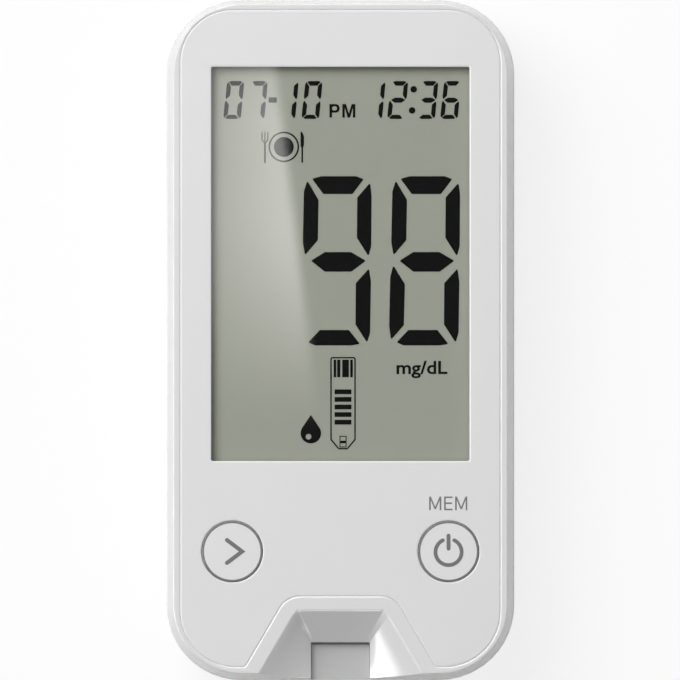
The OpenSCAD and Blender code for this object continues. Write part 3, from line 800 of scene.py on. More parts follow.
@dataclass(frozen=True)
class CellFace:
    """Front of a liquid crystal cell: a grey-green polariser over a finely pitted reflector."""

    name: str
    colour: Colour
    speck: float = 0.08
    cloud: float = 14.0
    tone: float = 0.035
    roughness: float = 0.42
    wander: float = 0.1
    specular: float = 0.1

    @cache
    def material(self) -> bpy.types.Material:
        """Fine specks and slow clouds in the tone, under a satin film.

        Returns:
            The material.
        """
        graph = Graph(bpy.data.materials.new(self.name))
        speck = graph.noise(self.speck, 1.0)
        both = speck * 0.5 + graph.noise(self.cloud, 2.0) * 0.5
        return graph.principled({
            "Base Color": graph.shade(both, self.colour, self.tone, self.tone),
            "Roughness": self.roughness + speck * self.wander,
            "Specular IOR Level": self.specular,
        })


@dataclass(frozen=True)
class Metal:
    """Plated or rolled metal with fine lines along one axis."""

    name: str
    colour: Colour
    roughness: float = 0.28
    wander: float = 0.14
    line: float = 0.06
    stretch: tuple[float, float, float] = (1.0, 12.0, 1.0)
    depth: float = 0.002
    stain: float = 2.5

    @cache
    def material(self) -> bpy.types.Material:
        """Stretched noise gives the lines, and broad noise a faint stain.

        Returns:
            The material.
        """
        graph = Graph(bpy.data.materials.new(self.name))
        line = graph.noise(self.line, 2.0, self.stretch)
        return graph.principled({
            "Base Color": graph.shade(graph.noise(self.stain, 3.0), self.colour, 0.1, 0.0),
            "Metallic": 1.0,
            "Roughness": self.roughness + line * self.wander,
            "Normal": graph.bump(line, self.depth),
        })


@dataclass(frozen=True)
class Laminate:
    """Circuit board: solder mask over copper tracks."""

    name: str
    colour: Colour = (0.012, 0.11, 0.05)
    copper: Colour = (0.05, 0.22, 0.09)
    cells_per_mm: float = 0.42
    patch: float = 0.3
    track: float = 0.42
    track_edge: float = 0.06
    depth: float = 0.02
    roughness: float = 0.3
    wander: float = 0.08
    coat: float = 0.3

    @cache
    def material(self) -> bpy.types.Material:
        """Square cells of noise, sharpened, stand for areas of copper under the mask.

        Returns:
            The material.
        """
        graph = Graph(bpy.data.materials.new(self.name))
        cells = graph.cells(1 / self.cells_per_mm, "MANHATTAN")
        track = cells.above(self.track, self.track_edge)
        return graph.principled({
            "Base Color": graph.blend(track, self.copper, self.colour),
            "Roughness": self.roughness + graph.noise(self.patch) * self.wander,
            "Normal": graph.bump(1 - track, self.depth),
            "Coat Weight": self.coat,
        })


@dataclass(frozen=True)
class Rubber:
    """Foam or silicone: dull, with open pores."""

    name: str
    colour: Colour
    pore: float = 0.2
    depth: float = 0.03
    roughness: float = 0.75
    wander: float = 0.15

    @cache
    def material(self) -> bpy.types.Material:
        """A cell pattern gives the pores.

        Returns:
            The material.
        """
        graph = Graph(bpy.data.materials.new(self.name))
        pores = graph.cells(self.pore)
        return graph.principled({
            "Base Color": graph.shade(pores, self.colour, 0.3, 0.2),
            "Roughness": self.roughness + pores * self.wander,
            "Normal": graph.bump(pores, self.depth),
        })


@dataclass(frozen=True)
class Jacket:
    """Printed metal foil round a cell, with a plain pale band and a plus towards one end.

    The band starts at edge along Y and lies on the side that towards points to. The middle of
    the plus lies plus_y further, and plus is half the length and half the width of its bars.
    """

    name: str
    centre: float
    edge: float
    towards: float
    colour: Colour = (0.035, 0.055, 0.085)
    band: Colour = (0.62, 0.62, 0.6)
    plus: tuple[float, float] = (1.3, 0.28)
    plus_y: float = 2.4
    fleck: float = 0.2
    depth: float = 0.002
    roughness: float = 0.28
    wander: float = 0.08
    metallic: float = 0.6
    coat: float = 0.6

    @cache
    def material(self) -> bpy.types.Material:
        """Squares of distances from the middle of the plus give its two bars.

        Returns:
            The material.
        """
        graph = Graph(bpy.data.materials.new(self.name))
        across = graph.axis("X") * (1 / MM) - self.centre
        along = graph.axis("Y") * (self.towards / MM)
        start = self.edge * self.towards
        colour = graph.blend(along.above(start, 0.05), self.colour, self.band)
        along = along - (start + self.plus_y)
        across, along = across * across, along * along
        reach, thin = (value**2 for value in self.plus)
        for first, second in ((along, across), (across, along)):
            bar = (1 - first.above(reach, 0.1)) * (1 - second.above(thin, 0.03))
            colour = graph.blend(bar.above(0.5, 0.4), colour, self.colour)
        fleck = graph.noise(self.fleck)
        return graph.principled({
            "Base Color": colour,
            "Metallic": self.metallic,
            "Roughness": self.roughness + fleck * self.wander,
            "Coat Weight": self.coat,
            "Normal": graph.bump(fleck, self.depth),
        })


def grey(level: float) -> Colour:
    """Neutral colour from its screen value, above 10 of 255, as linear light."""
    linear = ((level / 255 + 0.055) / 1.055) ** 2.4
    return (linear, linear, linear)


SHELL = Moulded("shell_plastic", grey(226), roughness=0.17, depth=0.0008, wander=0.04)
PANEL = Moulded("panel_plastic", grey(224), roughness=0.42, depth=0.0025)
KEY = Moulded("key_plastic", grey(224), roughness=0.5, depth=0.003)
# The guide's darker grey is partly the guide's own grey plastic and partly painted shade of the deep
# strip channel.
GUIDE = Moulded("guide_plastic_and_painted_shade", grey(188), roughness=0.3, depth=0.002)
WHITE = Moulded("natural_plastic", (0.78, 0.78, 0.74), roughness=0.4, depth=0.002)
EPOXY = Moulded("chip_epoxy", (0.02, 0.02, 0.022), roughness=0.5, depth=0.004)
CERAMIC = Moulded("ceramic", (0.42, 0.33, 0.22), roughness=0.45, depth=0.004)
MARKS = Ink("key_ink", grey(98))
LETTERS = Ink("panel_ink", grey(102))
SEGMENTS = Ink("display_segment", (0.004, 0.004, 0.0042), roughness=0.4, specular=0.03)
LENS = Clear("lens_acrylic")
CELL = CellFace("display_cell", (0.415, 0.421, 0.363))
STEEL = Metal("zinc_plate", (0.55, 0.55, 0.54))
NICKEL = Metal("nickel_plate", (0.6, 0.58, 0.54), roughness=0.22)
GOLD = Metal("gold_plate", (0.85, 0.62, 0.25), roughness=0.2)
BRASS = Metal("brass_can", (0.72, 0.55, 0.26), roughness=0.3)
BOARD = Laminate("solder_mask")
FOAM = Rubber("black_foam", (0.02, 0.02, 0.02))
SILICONE = Rubber("layered_silicone", (0.05, 0.05, 0.055), pore=0.1, depth=0.004)


# ------------------------------------------------------------------------------ case


@dataclass(frozen=True)
class Case:
    """Outline and heights of the case, and how far its walls lean in towards the front."""

    corner_r: float = 10.7
    side_lean: float = 0.95
    top_lean: float = 0.6
    rim_round: float = 0.2
    groove: float = 0.3
    wall: float = 1.5
    steps: int = 20
    low: Array = field(default_factory=lambda: box_of("front_cover")[0])
    high: Array = field(default_factory=lambda: box_of("front_cover")[1])
    pocket_z: float = field(default_factory=lambda: box_of("display_window")[1, 2])

    @property
    def rim_z(self) -> float:
        """Height at which the round onto the front rim starts."""
        return self.high[2] - self.rim_round


@dataclass(frozen=True)
class Scoop:
    """Finger scoop in the strip end, and the strip channel that it narrows to.

    A facet joins each side wall to the back wall. facet_x and facet_y hold its size at the top
    of the slot and at the front. dish is how far the side walls are hollow.
    """

    channel_half: float = 4.2
    slot_y: float = -43.1
    slot_top_z: float = 13.2
    edge_y: float = -38.43
    edge_half: float = 6.35
    spread: float = np.radians(30.4)
    facet_x: tuple[float, float] = (0.6, 0.22)
    facet_y: tuple[float, float] = (0.02, 0.84)
    corner_r: float = 0.1
    mouth_r: float = 0.12
    reach_y: float = -49.5
    edge_round: float = 0.12
    dish: float = 0.4

    def half_at(self, y: Array, grow: float) -> Array:
        """Half width of the scoop's front edge at y, moved out by grow."""
        slope = np.tan(self.spread)
        return self.edge_half + grow / np.cos(self.spread) + slope * (self.edge_y - y)


@dataclass
class FrontCover:
    """Front half of the case: walls, rim, finger scoop, panel pocket and display opening."""

    case: Case
    scoop: Scoop
    panel: "FrontPanel"
    display: "Display"
    keys: "Keypad"
    ledge_z: float = field(default_factory=lambda: box_of("display_window")[0, 2])
    ceiling_z: float = field(default_factory=lambda: box_of("display_gasket")[1, 2])
    groove_edge: float = 0.05
    opening_fit: float = 0.3
    boss_r: tuple[float, float] = (1.0, 2.4)
    collar_r: tuple[float, float] = (5.3, 6.1)
    collar_z: float = 14.95
    root: float = 0.1
    wall_steps: int = 14
    edge_steps: int = 5
    scoop_edges: Array = field(default_factory=lambda: np.arange(10) >= 5)

    def outline(self, z: Array) -> Outline:
        """Outlines of the cover at some heights: the leaning case outline less the scoop.

        The walls lean in linearly from the parting line to the rim. The scoop's side and back
        walls go from the channel outline at the top of the slot to the scoop outline on the
        front in proportion to t, the share of the height. At the mouth x goes with
        t + d t (1 - t) instead, where d makes the side walls a little hollow. A narrow facet joins
        each side wall to the back wall.

        Args:
            z: The heights.

        Returns:
            A stack of outlines with ten corners, which start at the right corner of the scoop's
            mouth and go anticlockwise. Edges 5 to 9 are the scoop's.
        """
        case, scoop = self.case, self.scoop
        lean = np.clip((z - case.low[2]) / (case.rim_z - case.low[2]), 0, 1)
        side, far = case.side_lean * lean, case.top_lean * lean
        share = np.clip((z - scoop.slot_top_z) / (case.high[2] - scoop.slot_top_z), 0, 1)
        out = share + scoop.dish * share * (1 - share)
        inner_x = scoop.channel_half + (scoop.edge_half - scoop.channel_half) * share
        facet_x, facet_y = (a + (b - a) * share for a, b in (scoop.facet_x, scoop.facet_y))
        back_x = inner_x - facet_x
        back_y = scoop.slot_y + (scoop.edge_y - scoop.slot_y) * share
        reach_x = scoop.half_at(scoop.reach_y, 0)
        reach_x = scoop.channel_half + (reach_x - scoop.channel_half) * out
        end_y = case.low[1] + side
        side_y = back_y - facet_y
        slope = (reach_x - inner_x) / (back_y - scoop.reach_y)
        side_x, mouth_x = (inner_x + slope * (back_y - y) for y in (side_y, end_y))
        x, y = case.high[0] - side, case.high[1] - far
        right = [(mouth_x, end_y), (x, end_y), (x, y)]
        left = [(-x, y), (-x, end_y), (-mouth_x, end_y)]
        back = [(-side_x, side_y), (-back_x, back_y), (back_x, back_y), (side_x, side_y)]
        corners = np.moveaxis(np.array([*right, *left, *back]), 2, 0)
        mouth, inner = np.full_like(z, scoop.mouth_r), np.full_like(z, scoop.corner_r)
        low, high = case.corner_r - side, case.corner_r - (side + far) / 2
        radii = np.stack([mouth, low, high, high, low, mouth, inner, inner, inner, inner], -1)
        return Outline(corners, radii, case.steps)

    def wall(self, z: Array, inset: Array, scoop_inset: Array) -> Surface:
        """Closed wall through a stack of the cover's outlines.

        Between corners 6 and 9, round the scoop's back wall, no point lies under the slot's top.

        Args:
            z: Heights of the outlines.
            inset: How far the case's edges are moved inwards at each height.
            scoop_inset: How far the scoop's edges are.

        Returns:
            The wall, open at its top and bottom.
        """
        insets = np.where(self.scoop_edges, scoop_inset[:, None], inset[:, None])
        flat = self.outline(z).moved(insets).points()
        over_slot = np.zeros(flat.shape[1], bool)
        stride = self.case.steps + 1
        over_slot[6 * stride + 1 : 10 * stride - 1] = True
        level = np.broadcast_to(z[:, None], flat.shape[:2])
        level = np.where(over_slot, np.maximum(level, self.scoop.slot_top_z), level)
        return grid(np.concatenate([flat, level[..., None]], -1), wrap_u=True)

    def outside(self) -> Surface:
        """Bottom edge, shadow groove, leaning wall, and the round onto the rim.

        Returns:
            One wall through all of them.
        """
        case, scoop = self.case, self.scoop
        low, groove, edge = case.low[2], case.groove, self.groove_edge
        lift = low + groove
        above = np.linspace(scoop.slot_top_z, case.rim_z, self.wall_steps)
        t = quarter(self.edge_steps)[1:]
        z = np.concatenate([[low, low, lift, lift, lift + edge], above,
                            case.rim_z + case.rim_round * np.sin(t)])
        turn = 1 - np.cos(t)
        flush = np.zeros(len(above))
        inset = np.concatenate([[case.wall, groove, groove, edge, 0], flush, case.rim_round * turn])
        scoop_inset = np.concatenate([[case.wall, 0, 0, 0, 0], flush, scoop.edge_round * turn])
        return self.wall(z, inset, scoop_inset)

    def rim(self) -> list[Surface]:
        """Flat rim from the round of the case to the rounded edge of the panel pocket.

        Returns:
            The rim, and the pocket's edge and wall.
        """
        case, panel = self.case, self.panel
        top = case.high[2]
        insets = np.where(self.scoop_edges, self.scoop.edge_round, case.rim_round)[None]
        outer = self.outline(np.array([top])).moved(insets).at(0)
        pocket = panel.pocket()
        t = quarter(self.edge_steps)
        edge = panel.rim_edge
        drop = edge * panel.edge_flat * np.sin(t) ** 2
        z = np.concatenate([top - drop, [case.pocket_z]])
        inset = np.concatenate([-edge * (1 - np.sin(t)), [0]])
        return [sheet(outer, [pocket.moved(-edge)], top), rings(pocket.moved(inset[:, None]), z)]

    def inside(self) -> list[Surface]:
        """Inner wall, pocket floor, lens pocket, display opening, ceiling and key bores.

        Returns:
            The surfaces, which meet at their borders.
        """
        case = self.case
        lens = self.display.lens_outline().moved(-self.display.lens_fit)
        opening = self.display.window_outline().moved(-self.opening_fit)
        bores = self.keys.bores()
        z = np.linspace(self.scoop.slot_top_z, self.ceiling_z, self.wall_steps)
        z = np.concatenate([[case.low[2]], z])
        deep = np.full(len(z), case.wall)
        ceiling = self.outline(z[-1:]).moved(case.wall).at(0)
        return [
            self.wall(z, deep, deep),
            sheet(self.panel.pocket(), [lens, *bores], case.pocket_z),
            upright(lens, self.ledge_z, case.pocket_z),
            sheet(lens, [opening], self.ledge_z),
            upright(opening, self.ceiling_z, self.ledge_z),
            sheet(ceiling, [opening, *bores], self.ceiling_z),
            *(upright(bore, self.ceiling_z, case.pocket_z) for bore in bores),
        ]

    def fittings(self) -> list[Surface]:
        """Screw bosses and the collars round the keys' flanges.

        Returns:
            Short tubes that reach into the ceiling.
        """
        top = self.ceiling_z + self.root
        tubes = [(centre, self.boss_r, self.case.low[2] + self.root)
                 for centre in Fasteners().case_places()]
        tubes += [(centre, self.collar_r, self.collar_z) for centre in self.keys.places()]
        made = []
        for centre, radii, foot in tubes:
            inner, outer = (Outline.circle(centre, radius) for radius in radii)
            made += plate(outer, (foot, top), (inner,))
        return made

    def build(self) -> None:
        """Makes the cover as one shell."""
        surfaces = [self.outside(), *self.rim(), *self.inside(), *self.fittings()]
        shape_piece("front_cover_shell", surfaces, SHELL.material(),
                    Place(Body.CASE, "shell", ("front_cover",)), Edge.CRISP)


@dataclass
class FrontPanel:
    """Flat panel glued into the front cover, with its window, key holes and lettering."""

    scoop: Scoop
    case: Case
    low_r: float = 7.9
    top_r: float = 7.4
    notch_r: float = 3.5
    tip_r: float = 0.5
    seam: float = 0.1
    gap: float = 0.02
    edge: float = 0.25
    rim_edge: float = 0.28
    edge_flat: float = 0.32
    side_rim: float = 2.2
    top_rim: float = 2.05
    sign_y: float = 5.87
    sign_height: float = 1.95

    CAPITALS = {
        "M": ((0, 0), (0.13, 0), (0.13, 0.76), (0.44, 0.08), (0.56, 0.08), (0.87, 0.76), (0.87, 0),
              (1, 0), (1, 1), (0.86, 1), (0.5, 0.24), (0.14, 1), (0, 1)),
        "E": ((0, 0), (1, 0), (1, 0.11), (0.19, 0.11), (0.19, 0.46), (0.93, 0.46), (0.93, 0.57),
              (0.19, 0.57), (0.19, 0.89), (1, 0.89), (1, 1), (0, 1)),
    }
    SIGN = (("M", -2.76, 1.72), ("E", -0.63, 1.2), ("M", 0.94, 1.72))

    def outline(self) -> Outline:
        """Outline with its notch round the scoop.

        Returns:
            The outline, from the right low tip anticlockwise.
        """
        low, high = box_of("front_panel")
        notch_y = self.scoop.edge_y + self.top_rim
        tip_x = self.scoop.half_at(low[1], self.side_rim)
        notch_x = self.scoop.half_at(notch_y, self.side_rim)
        corners = [(tip_x, low[1]), (high[0], low[1]), (high[0], high[1]), (low[0], high[1]),
                   (low[0], low[1]), (-tip_x, low[1]), (-notch_x, notch_y), (notch_x, notch_y)]
        radii = [self.tip_r, self.low_r, self.top_r, self.top_r,
                 self.low_r, self.tip_r, self.notch_r, self.notch_r]
        return Outline(np.array(corners), np.array(radii), self.case.steps)

    def pocket(self) -> Outline:
        """Outline of the pocket in the front cover that takes the panel."""
        return self.outline().moved(-self.seam)

    def build(self, display: "Display", keys: "Keypad") -> None:
        """Makes the panel and the lettering over the power key.

        Args:
            display: The display behind its window.
            keys: The keys in its holes.
        """
        low, high = box_of("front_panel")
        top = high[2] - PRINT_T
        outline = self.outline().moved(self.gap - self.seam)
        walls = plate(outline, (low[2], top), (display.window_outline(), *keys.bores()),
                      top=self.edge, flat=self.edge_flat)
        place = Place(Body.CASE, "panel", ("front_panel",))
        shape_piece("front_panel_plate", walls, PANEL.material(), place)
        shape_piece("panel_lettering", self.lettering(keys.places()[1], top), LETTERS.material(),
                    Place(Body.CASE, "panel"), Edge.CRISP)

    def lettering(self, centre: Array, z: float) -> list[Surface]:
        """The sign for stored readings, in light capitals.

        Args:
            centre: Middle of the key that it stands over.
            z: Height of the panel's face.

        Returns:
            The letters.
        """
        made = []
        for letter, x, width in self.SIGN:
            points = np.array(self.CAPITALS[letter]) * (width, self.sign_height) + centre
            outline = Outline.polygon(points + (x, self.sign_y), 0.015)
            made += plate(outline, (z, z + PRINT_T), steps=1)
        return made


# ------------------------------------------------------------------------------ keys


@dataclass
class Keypad:
    """Two round keys with printed marks, each with a flange, a stem and a snap dome.

    inner_r holds the radii of the stem and of the hollow round it, and arrow how far back, how
    far forward and how high the arrow head reaches from the middle of its key.
    """

    key_r: float = 4.3
    bore_r: float = 4.4
    inner_r: tuple[float, float, float] = (1.4, 2.4, 3.4)
    roof_z: float = 17.6
    stem_l: float = 0.38
    flange_z: float = 16.2
    flange_reach: float = 0.8
    tab_half: float = 0.8
    edge: float = 0.12
    ring: tuple[float, float] = (4.03, 4.26)
    arrow: tuple[float, float, float] = (-0.74, 1.42, 1.63)
    arrow_line: float = 0.58
    loop_r: float = 1.86
    loop_y: float = -0.08
    loop_gap: float = 26.0
    loop_line: float = 0.54
    bar: tuple[float, float] = (0.4, 2.25)
    bar_line: float = 0.55
    dome_skin: float = 0.1
    dome_inner: float = 0.96
    dome_steps: int = 14

    def places(self) -> Array:
        """Centres of the two keys, left first."""
        return np.array([box_of(n).mean(0)[:2] for n in ("dome_next", "dome_power")])

    def bores(self) -> tuple[Outline, ...]:
        """Bores that the keys move in."""
        return tuple(Outline.circle(centre, self.bore_r) for centre in self.places())

    def cap(self, node: str, centre: Array) -> list[Surface]:
        """Cap, skirt, flange and stem, turned about the key's axis, and the tab on the flange.

        Args:
            node: The key's node.
            centre: Its middle.

        Returns:
            The turned body and the tab.
        """
        low, high = box_of(node)
        foot, top = low[2], high[2] - PRINT_T
        under = foot + self.stem_l
        stem, post, skirt = self.inner_r
        flange = self.key_r + self.flange_reach
        corners = [(stem, foot), (stem, under), (post, under), (post, self.roof_z),
                   (skirt, self.roof_z), (skirt, under), (flange, under), (flange, self.flange_z),
                   (self.key_r, self.flange_z), (self.key_r, top)]
        radii = np.array([0.15, 0.1, 0.1, 0.2, 0.2, 0.1, 0.12, 0.12, 0.05, self.edge])
        body = revolved(rounded_profile(corners, radii), centre)
        x, y = centre
        tab = block((x - self.tab_half, y + self.key_r, under + TUCK),
                    (x + self.tab_half, y + flange + self.flange_reach, self.flange_z - TUCK))
        return [body, *tab]

    def marks(self, kind: Body, centre: Array) -> list[Outline]:
        """The sign on a key: an arrow head, or a ring open at the top with a bar.

        Args:
            kind: Body of the key.
            centre: Its middle.

        Returns:
            One outline for each stroke.
        """
        if kind is Body.KEY_NEXT:
            back, tip, half = self.arrow
            path = np.array([(back, half), (tip, 0.0), (back, -half)]) + centre
            return [Outline.stroke(path, self.arrow_line)]
        angle = np.radians(np.linspace(90 + self.loop_gap, 450 - self.loop_gap, 49))
        arc = np.stack([np.cos(angle), np.sin(angle)], -1) * self.loop_r + centre
        bar = np.array([(0.0, self.bar[1]), (0.0, self.bar[0])]) + centre
        return [Outline.stroke(arc + (0, self.loop_y), self.loop_line),
                Outline.stroke(bar, self.bar_line)]

    def build(self) -> None:
        """Makes both keys, their marks and their domes."""
        for body, centre in zip((Body.KEY_NEXT, Body.KEY_POWER), self.places()):
            node = body.value
            top = box_of(node)[1, 2] - PRINT_T
            shape_piece(f"{node}_cap", self.cap(node, centre), KEY.material(),
                        Place(body, "key", (node,)))
            outer, inner = (Outline.circle(centre, r, 24) for r in reversed(self.ring))
            ink = plate(outer, (top, top + PRINT_T), (inner,), steps=1)
            for mark in self.marks(body, centre):
                ink += plate(mark, (top, top + PRINT_T), steps=1)
            shape_piece(f"{node}_marks", ink, MARKS.material(), Place(body, "key"), Edge.CRISP)
            self.dome(node, centre)

    def dome(self, node: str, centre: Array) -> None:
        """Makes a snap dome.

        Its height falls with the radius r as h (1 - (r / R)^2), above and below a thin skin.

        Args:
            node: The key's node.
            centre: Its middle.
        """
        name = node.replace("key", "dome")
        low, high = box_of(name)
        outer, rise = (high[0] - low[0]) / 2, high[2] - low[2]
        inner = self.dome_inner * outer
        r = np.linspace(0, outer, self.dome_steps)
        above = np.stack([r, low[2] + rise * (1 - (r / outer) ** 2)], -1)
        r = np.linspace(inner, 0, self.dome_steps)
        below = np.stack([r, low[2] + (rise - self.dome_skin) * (1 - (r / inner) ** 2)], -1)
        surface = revolved(np.vstack([above, below]), centre, 48)
        piece = shape_piece(f"{name}_disc", [surface], STEEL.material(),
                            Place(Body.CASE, "spring_steel", (name,)))
        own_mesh(piece)


# ------------------------------------------------------------------------------ display


@dataclass
class Display:
    """Lens, liquid crystal cell and what the cell shows."""

    margin: float = 1.0
    lens_fit: float = 0.1
    lens_r: float = 0.9
    lens_edge: float = 0.06
    window_r: float = 0.3
    cell_edge: float = 0.1
    face_margin: float = 0.2
    under: float = 0.04

    def lens_outline(self) -> Outline:
        """Outline of the lens."""
        low, high = box_of("display_window")
        return Outline.box(low[:2], high[:2], self.lens_r)

    def window_outline(self) -> Outline:
        """Outline of the window in the panel."""
        return replace(self.lens_outline().moved(self.margin), radii=np.full(4, self.window_r))

    def build(self) -> None:
        """Makes the lens, the cell's face and everything that it shows."""
        low, high = box_of("display_window")
        edge = self.lens_edge
        lens = plate(self.lens_outline(), (low[2], high[2]), top=edge, foot=edge, steps=2)
        shape_piece("display_lens", lens, LENS.material(),
                    Place(Body.CASE, "lens", ("display_window",)))
        glass_low, glass_high = box_of("lcd_front_glass")
        shape_piece("lcd_cell", block(glass_low, glass_high, self.cell_edge), CELL.material(),
                    Place(Body.CASE, "lcd_glass", ("lcd_front_glass",)))
        face_z = low[2] - self.under - PRINT_T
        face = plate(self.window_outline().moved(-self.face_margin), (glass_high[2], face_z))
        shape_piece("lcd_polariser", face, CELL.material(), Place(Body.CASE, "lcd_glass"))
        Readout(face_z).build()


@dataclass
class Readout:
    """What the cell shows, as thin dark segments: digits, a unit and three small pictures.

    A digit is drawn at DIGIT_SIZE and scaled. Sizes and places are in millimetres.
    """

    z: float
    value_y: float = -0.72
    value_grow: float = 0.05
    clock_y: float = 31.55
    clock_size: tuple[float, float] = (2.36, 5.27)
    clock_lean: float = 0.45
    clock_grow: float = 0.065
    dot_r: float = 0.47
    meal_place: tuple[float, float] = (-8.05, 27.5)
    meal_r: tuple[float, float, float] = (2.18, 1.95, 1.42)
    fork_x: float = -2.69
    knife_x: float = 2.62
    strip_place: tuple[float, float] = (0.38, -2.45)
    drop_place: tuple[float, float] = (-4.2, -13.27)
    letter_x: tuple[float, float] = (-1.55, 0.28)
    letter_y: float = 31.68
    letter_size: tuple[float, float] = (1.85, 1.92)
    unit_place: tuple[float, float] = (8.0, -5.45)
    unit_size: tuple[float, float] = (7.25, 2.5)

    DIGIT_SIZE = (9.73, 24.0)
    SEGMENT = {
        "a": ((1.45, 23.65), (2.7, 24.0), (7.65, 24.0), (8.65, 23.6), (7.1, 21.55), (3.0, 21.55)),
        "b": ((9.6, 23.0), (9.8, 21.4), (9.75, 14.1), (9.4, 12.75), (7.8, 15.3), (7.85, 21.0)),
        "c": ((9.45, 10.8), (9.7, 9.05), (9.6, 1.8), (9.2, 0.45), (7.6, 2.95), (7.65, 8.8)),
        "d": ((2.5, 2.1), (6.6, 2.1), (8.1, 0.2), (7.0, 0.0), (1.8, 0.0), (0.9, 0.4)),
        "e": ((0.35, 11.25), (-0.05, 9.65), (-0.2, 2.7), (0.05, 0.85), (1.8, 2.85), (1.95, 8.65)),
        "f": ((0.7, 23.3), (0.25, 21.85), (0.1, 14.65), (0.4, 12.9), (2.15, 14.95), (2.25, 20.65)),
        "g": ((1.3, 12.0), (3.2, 13.2), (6.9, 13.2), (8.95, 12.0), (6.95, 10.5), (3.2, 10.5)),
    }
    LIT = {"0": "abcdef", "1": "bc", "2": "abdeg", "3": "abcdg", "6": "acdefg", "7": "abc",
           "8": "abcdefg", "9": "abcdfg"}
    VALUE = (("9", -5.4), ("8", 7.2))
    CLOCK = (("0", -16.35), ("7", -13.0), ("1", -8.6), ("0", -5.2),
             ("1", 3.78), ("2", 7.0), ("3", 11.3), ("6", 14.55))
    DASH = (-10.22, 33.8, 1.16, 0.75)
    COLON = ((10.45, 35.7), (10.22, 32.7))
    FORK = ((((-0.42, 2.05), (-0.42, 1.0), (-0.14, 0.66), (0.14, 0.66), (0.42, 1.0), (0.42, 2.05)), 0.16),
            (((0.0, 2.1), (0.0, 0.8)), 0.14), (((0.0, 0.62), (0.0, -2.2)), 0.24))
    KNIFE = ((-0.24, 2.2), (0.0, 2.1), (0.26, 1.5), (0.26, 0.25), (0.12, -0.1), (0.12, -2.25),
             (-0.12, -2.25), (-0.12, -0.1), (-0.24, 0.1))
    CONTACTS = ((-1.34, 0.38), (-0.84, 0.46), (-0.12, 0.96), (1.02, 0.38))
    LETTER_P = ((0, 0), (0.2, 0), (0.2, 0.36), (0.78, 0.36), (0.78, 1), (0, 1))
    LETTER_M = ((0, 0), (0.19, 0), (0.19, 0.74), (0.41, 0), (0.59, 0), (0.81, 0.74), (0.81, 0),
                (1, 0), (1, 1), (0.72, 1), (0.5, 0.3), (0.28, 1), (0, 1))

    def digits(self, row: tuple, y: float, size: tuple[float, float], lean: float = 0.0,
               grow: float = 0.0) -> list[Surface]:
        """A row of digits.

        Args:
            row: Each digit with the place of its left side.
            y: Foot of the row.
            size: Width and height of a digit.
            lean: How far its top leans to the right.
            grow: How far each segment's edges move outwards.

        Returns:
            Their segments.
        """
        made = []
        for sign, x in row:
            for letter in self.LIT[sign]:
                points = np.array(self.SEGMENT[letter]) / self.DIGIT_SIZE * size + (x, y)
                points[:, 0] += lean * ((points[:, 1] - y) / size[1] - 0.5)
                made += self.mark(Outline.polygon(points, 0.008 * size[0]).moved(-grow))
        return made

    def mark(self, outline: Outline, *holes: Outline) -> list[Surface]:
        """One dark area."""
        return plate(outline, (self.z, self.z + PRINT_T), holes, steps=1)

    def bar(self, x: float, y: float, width: float, height: float) -> list[Surface]:
        """One upright rectangle from its lower left corner."""
        return self.mark(Outline.box((x, y), (x + width, y + height), 0.03, 2))

    def clock(self) -> list[Surface]:
        """Date and time along the top of the display.

        Returns:
            Their digits, dash and colon.
        """
        made = self.digits(self.CLOCK, self.clock_y, self.clock_size, self.clock_lean, self.clock_grow)
        made += self.bar(*self.DASH)
        for dot in self.COLON:
            made += self.mark(Outline.circle(dot, self.dot_r, 6))
        return made

    def meal(self) -> list[Surface]:
        """A plate between a fork and a knife.

        Returns:
            Their dark areas.
        """
        x, y = self.meal_place
        outer, inner, disc = (Outline.circle((x, y), r, 12) for r in self.meal_r)
        made = self.mark(outer, inner) + self.mark(replace(disc, steps=10))
        for path, width in self.FORK:
            made += self.mark(Outline.stroke(np.array(path) + (x + self.fork_x, y), width, 4))
        return made + self.mark(Outline.polygon(np.array(self.KNIFE) + (x + self.knife_x, y), 0.06))

    def strip(self) -> list[Surface]:
        """A test strip with its contacts, five bars and its tip.

        Returns:
            Its dark areas.
        """
        x, top = self.strip_place
        half, shoulder, tip = 1.78, 11.75, 13.1
        contact_y, contact_h = 2.85, 2.5
        bar_y, pitch, size = 5.27, 1.08, (2.4, 0.68)
        shape = np.array([(-half, 0), (half, 0), (half, -shoulder), (0.65, -tip), (-0.65, -tip),
                          (-half, -shoulder)]) + (x, top)
        outer = Outline.polygon(shape, 0.3)
        made = self.mark(outer.moved(-0.03), outer.moved(0.17))
        for left, width in self.CONTACTS:
            made += self.bar(x + left, top - contact_y, width, contact_h)
        for row in range(5):
            made += self.bar(x - size[0] / 2, top - bar_y - pitch * row, *size)
        rim = Outline.box((x - 0.5, top - 12.85), (x + 0.5, top - 11.2), 0.05, 2)
        return made + self.mark(rim, rim.moved(0.13)) + self.bar(x - 0.36, top - 12.25, 0.72, 0.35)

    def drop(self) -> list[Surface]:
        """A drop: a circle whose upper sides run together to a point, with a highlight.

        The two straight sides touch the circle where the angle from the top has a cosine of the
        radius over the distance to the point.

        Returns:
            The dark area.
        """
        x, y = self.drop_place
        radius, tip = 1.46, 2.6
        touch = np.arccos(radius / tip)
        angle = np.linspace(np.pi / 2 + touch, np.pi / 2 - touch + 2 * np.pi, 33)
        round_part = radius * np.stack([np.cos(angle), np.sin(angle)], -1)
        points = np.vstack([[(0, tip)], round_part]) + (x, y)
        shine = Outline.circle((x - 0.33, y - 0.5), 0.4, 6)
        return self.mark(Outline.polygon(points, 0.01, 1), shine)

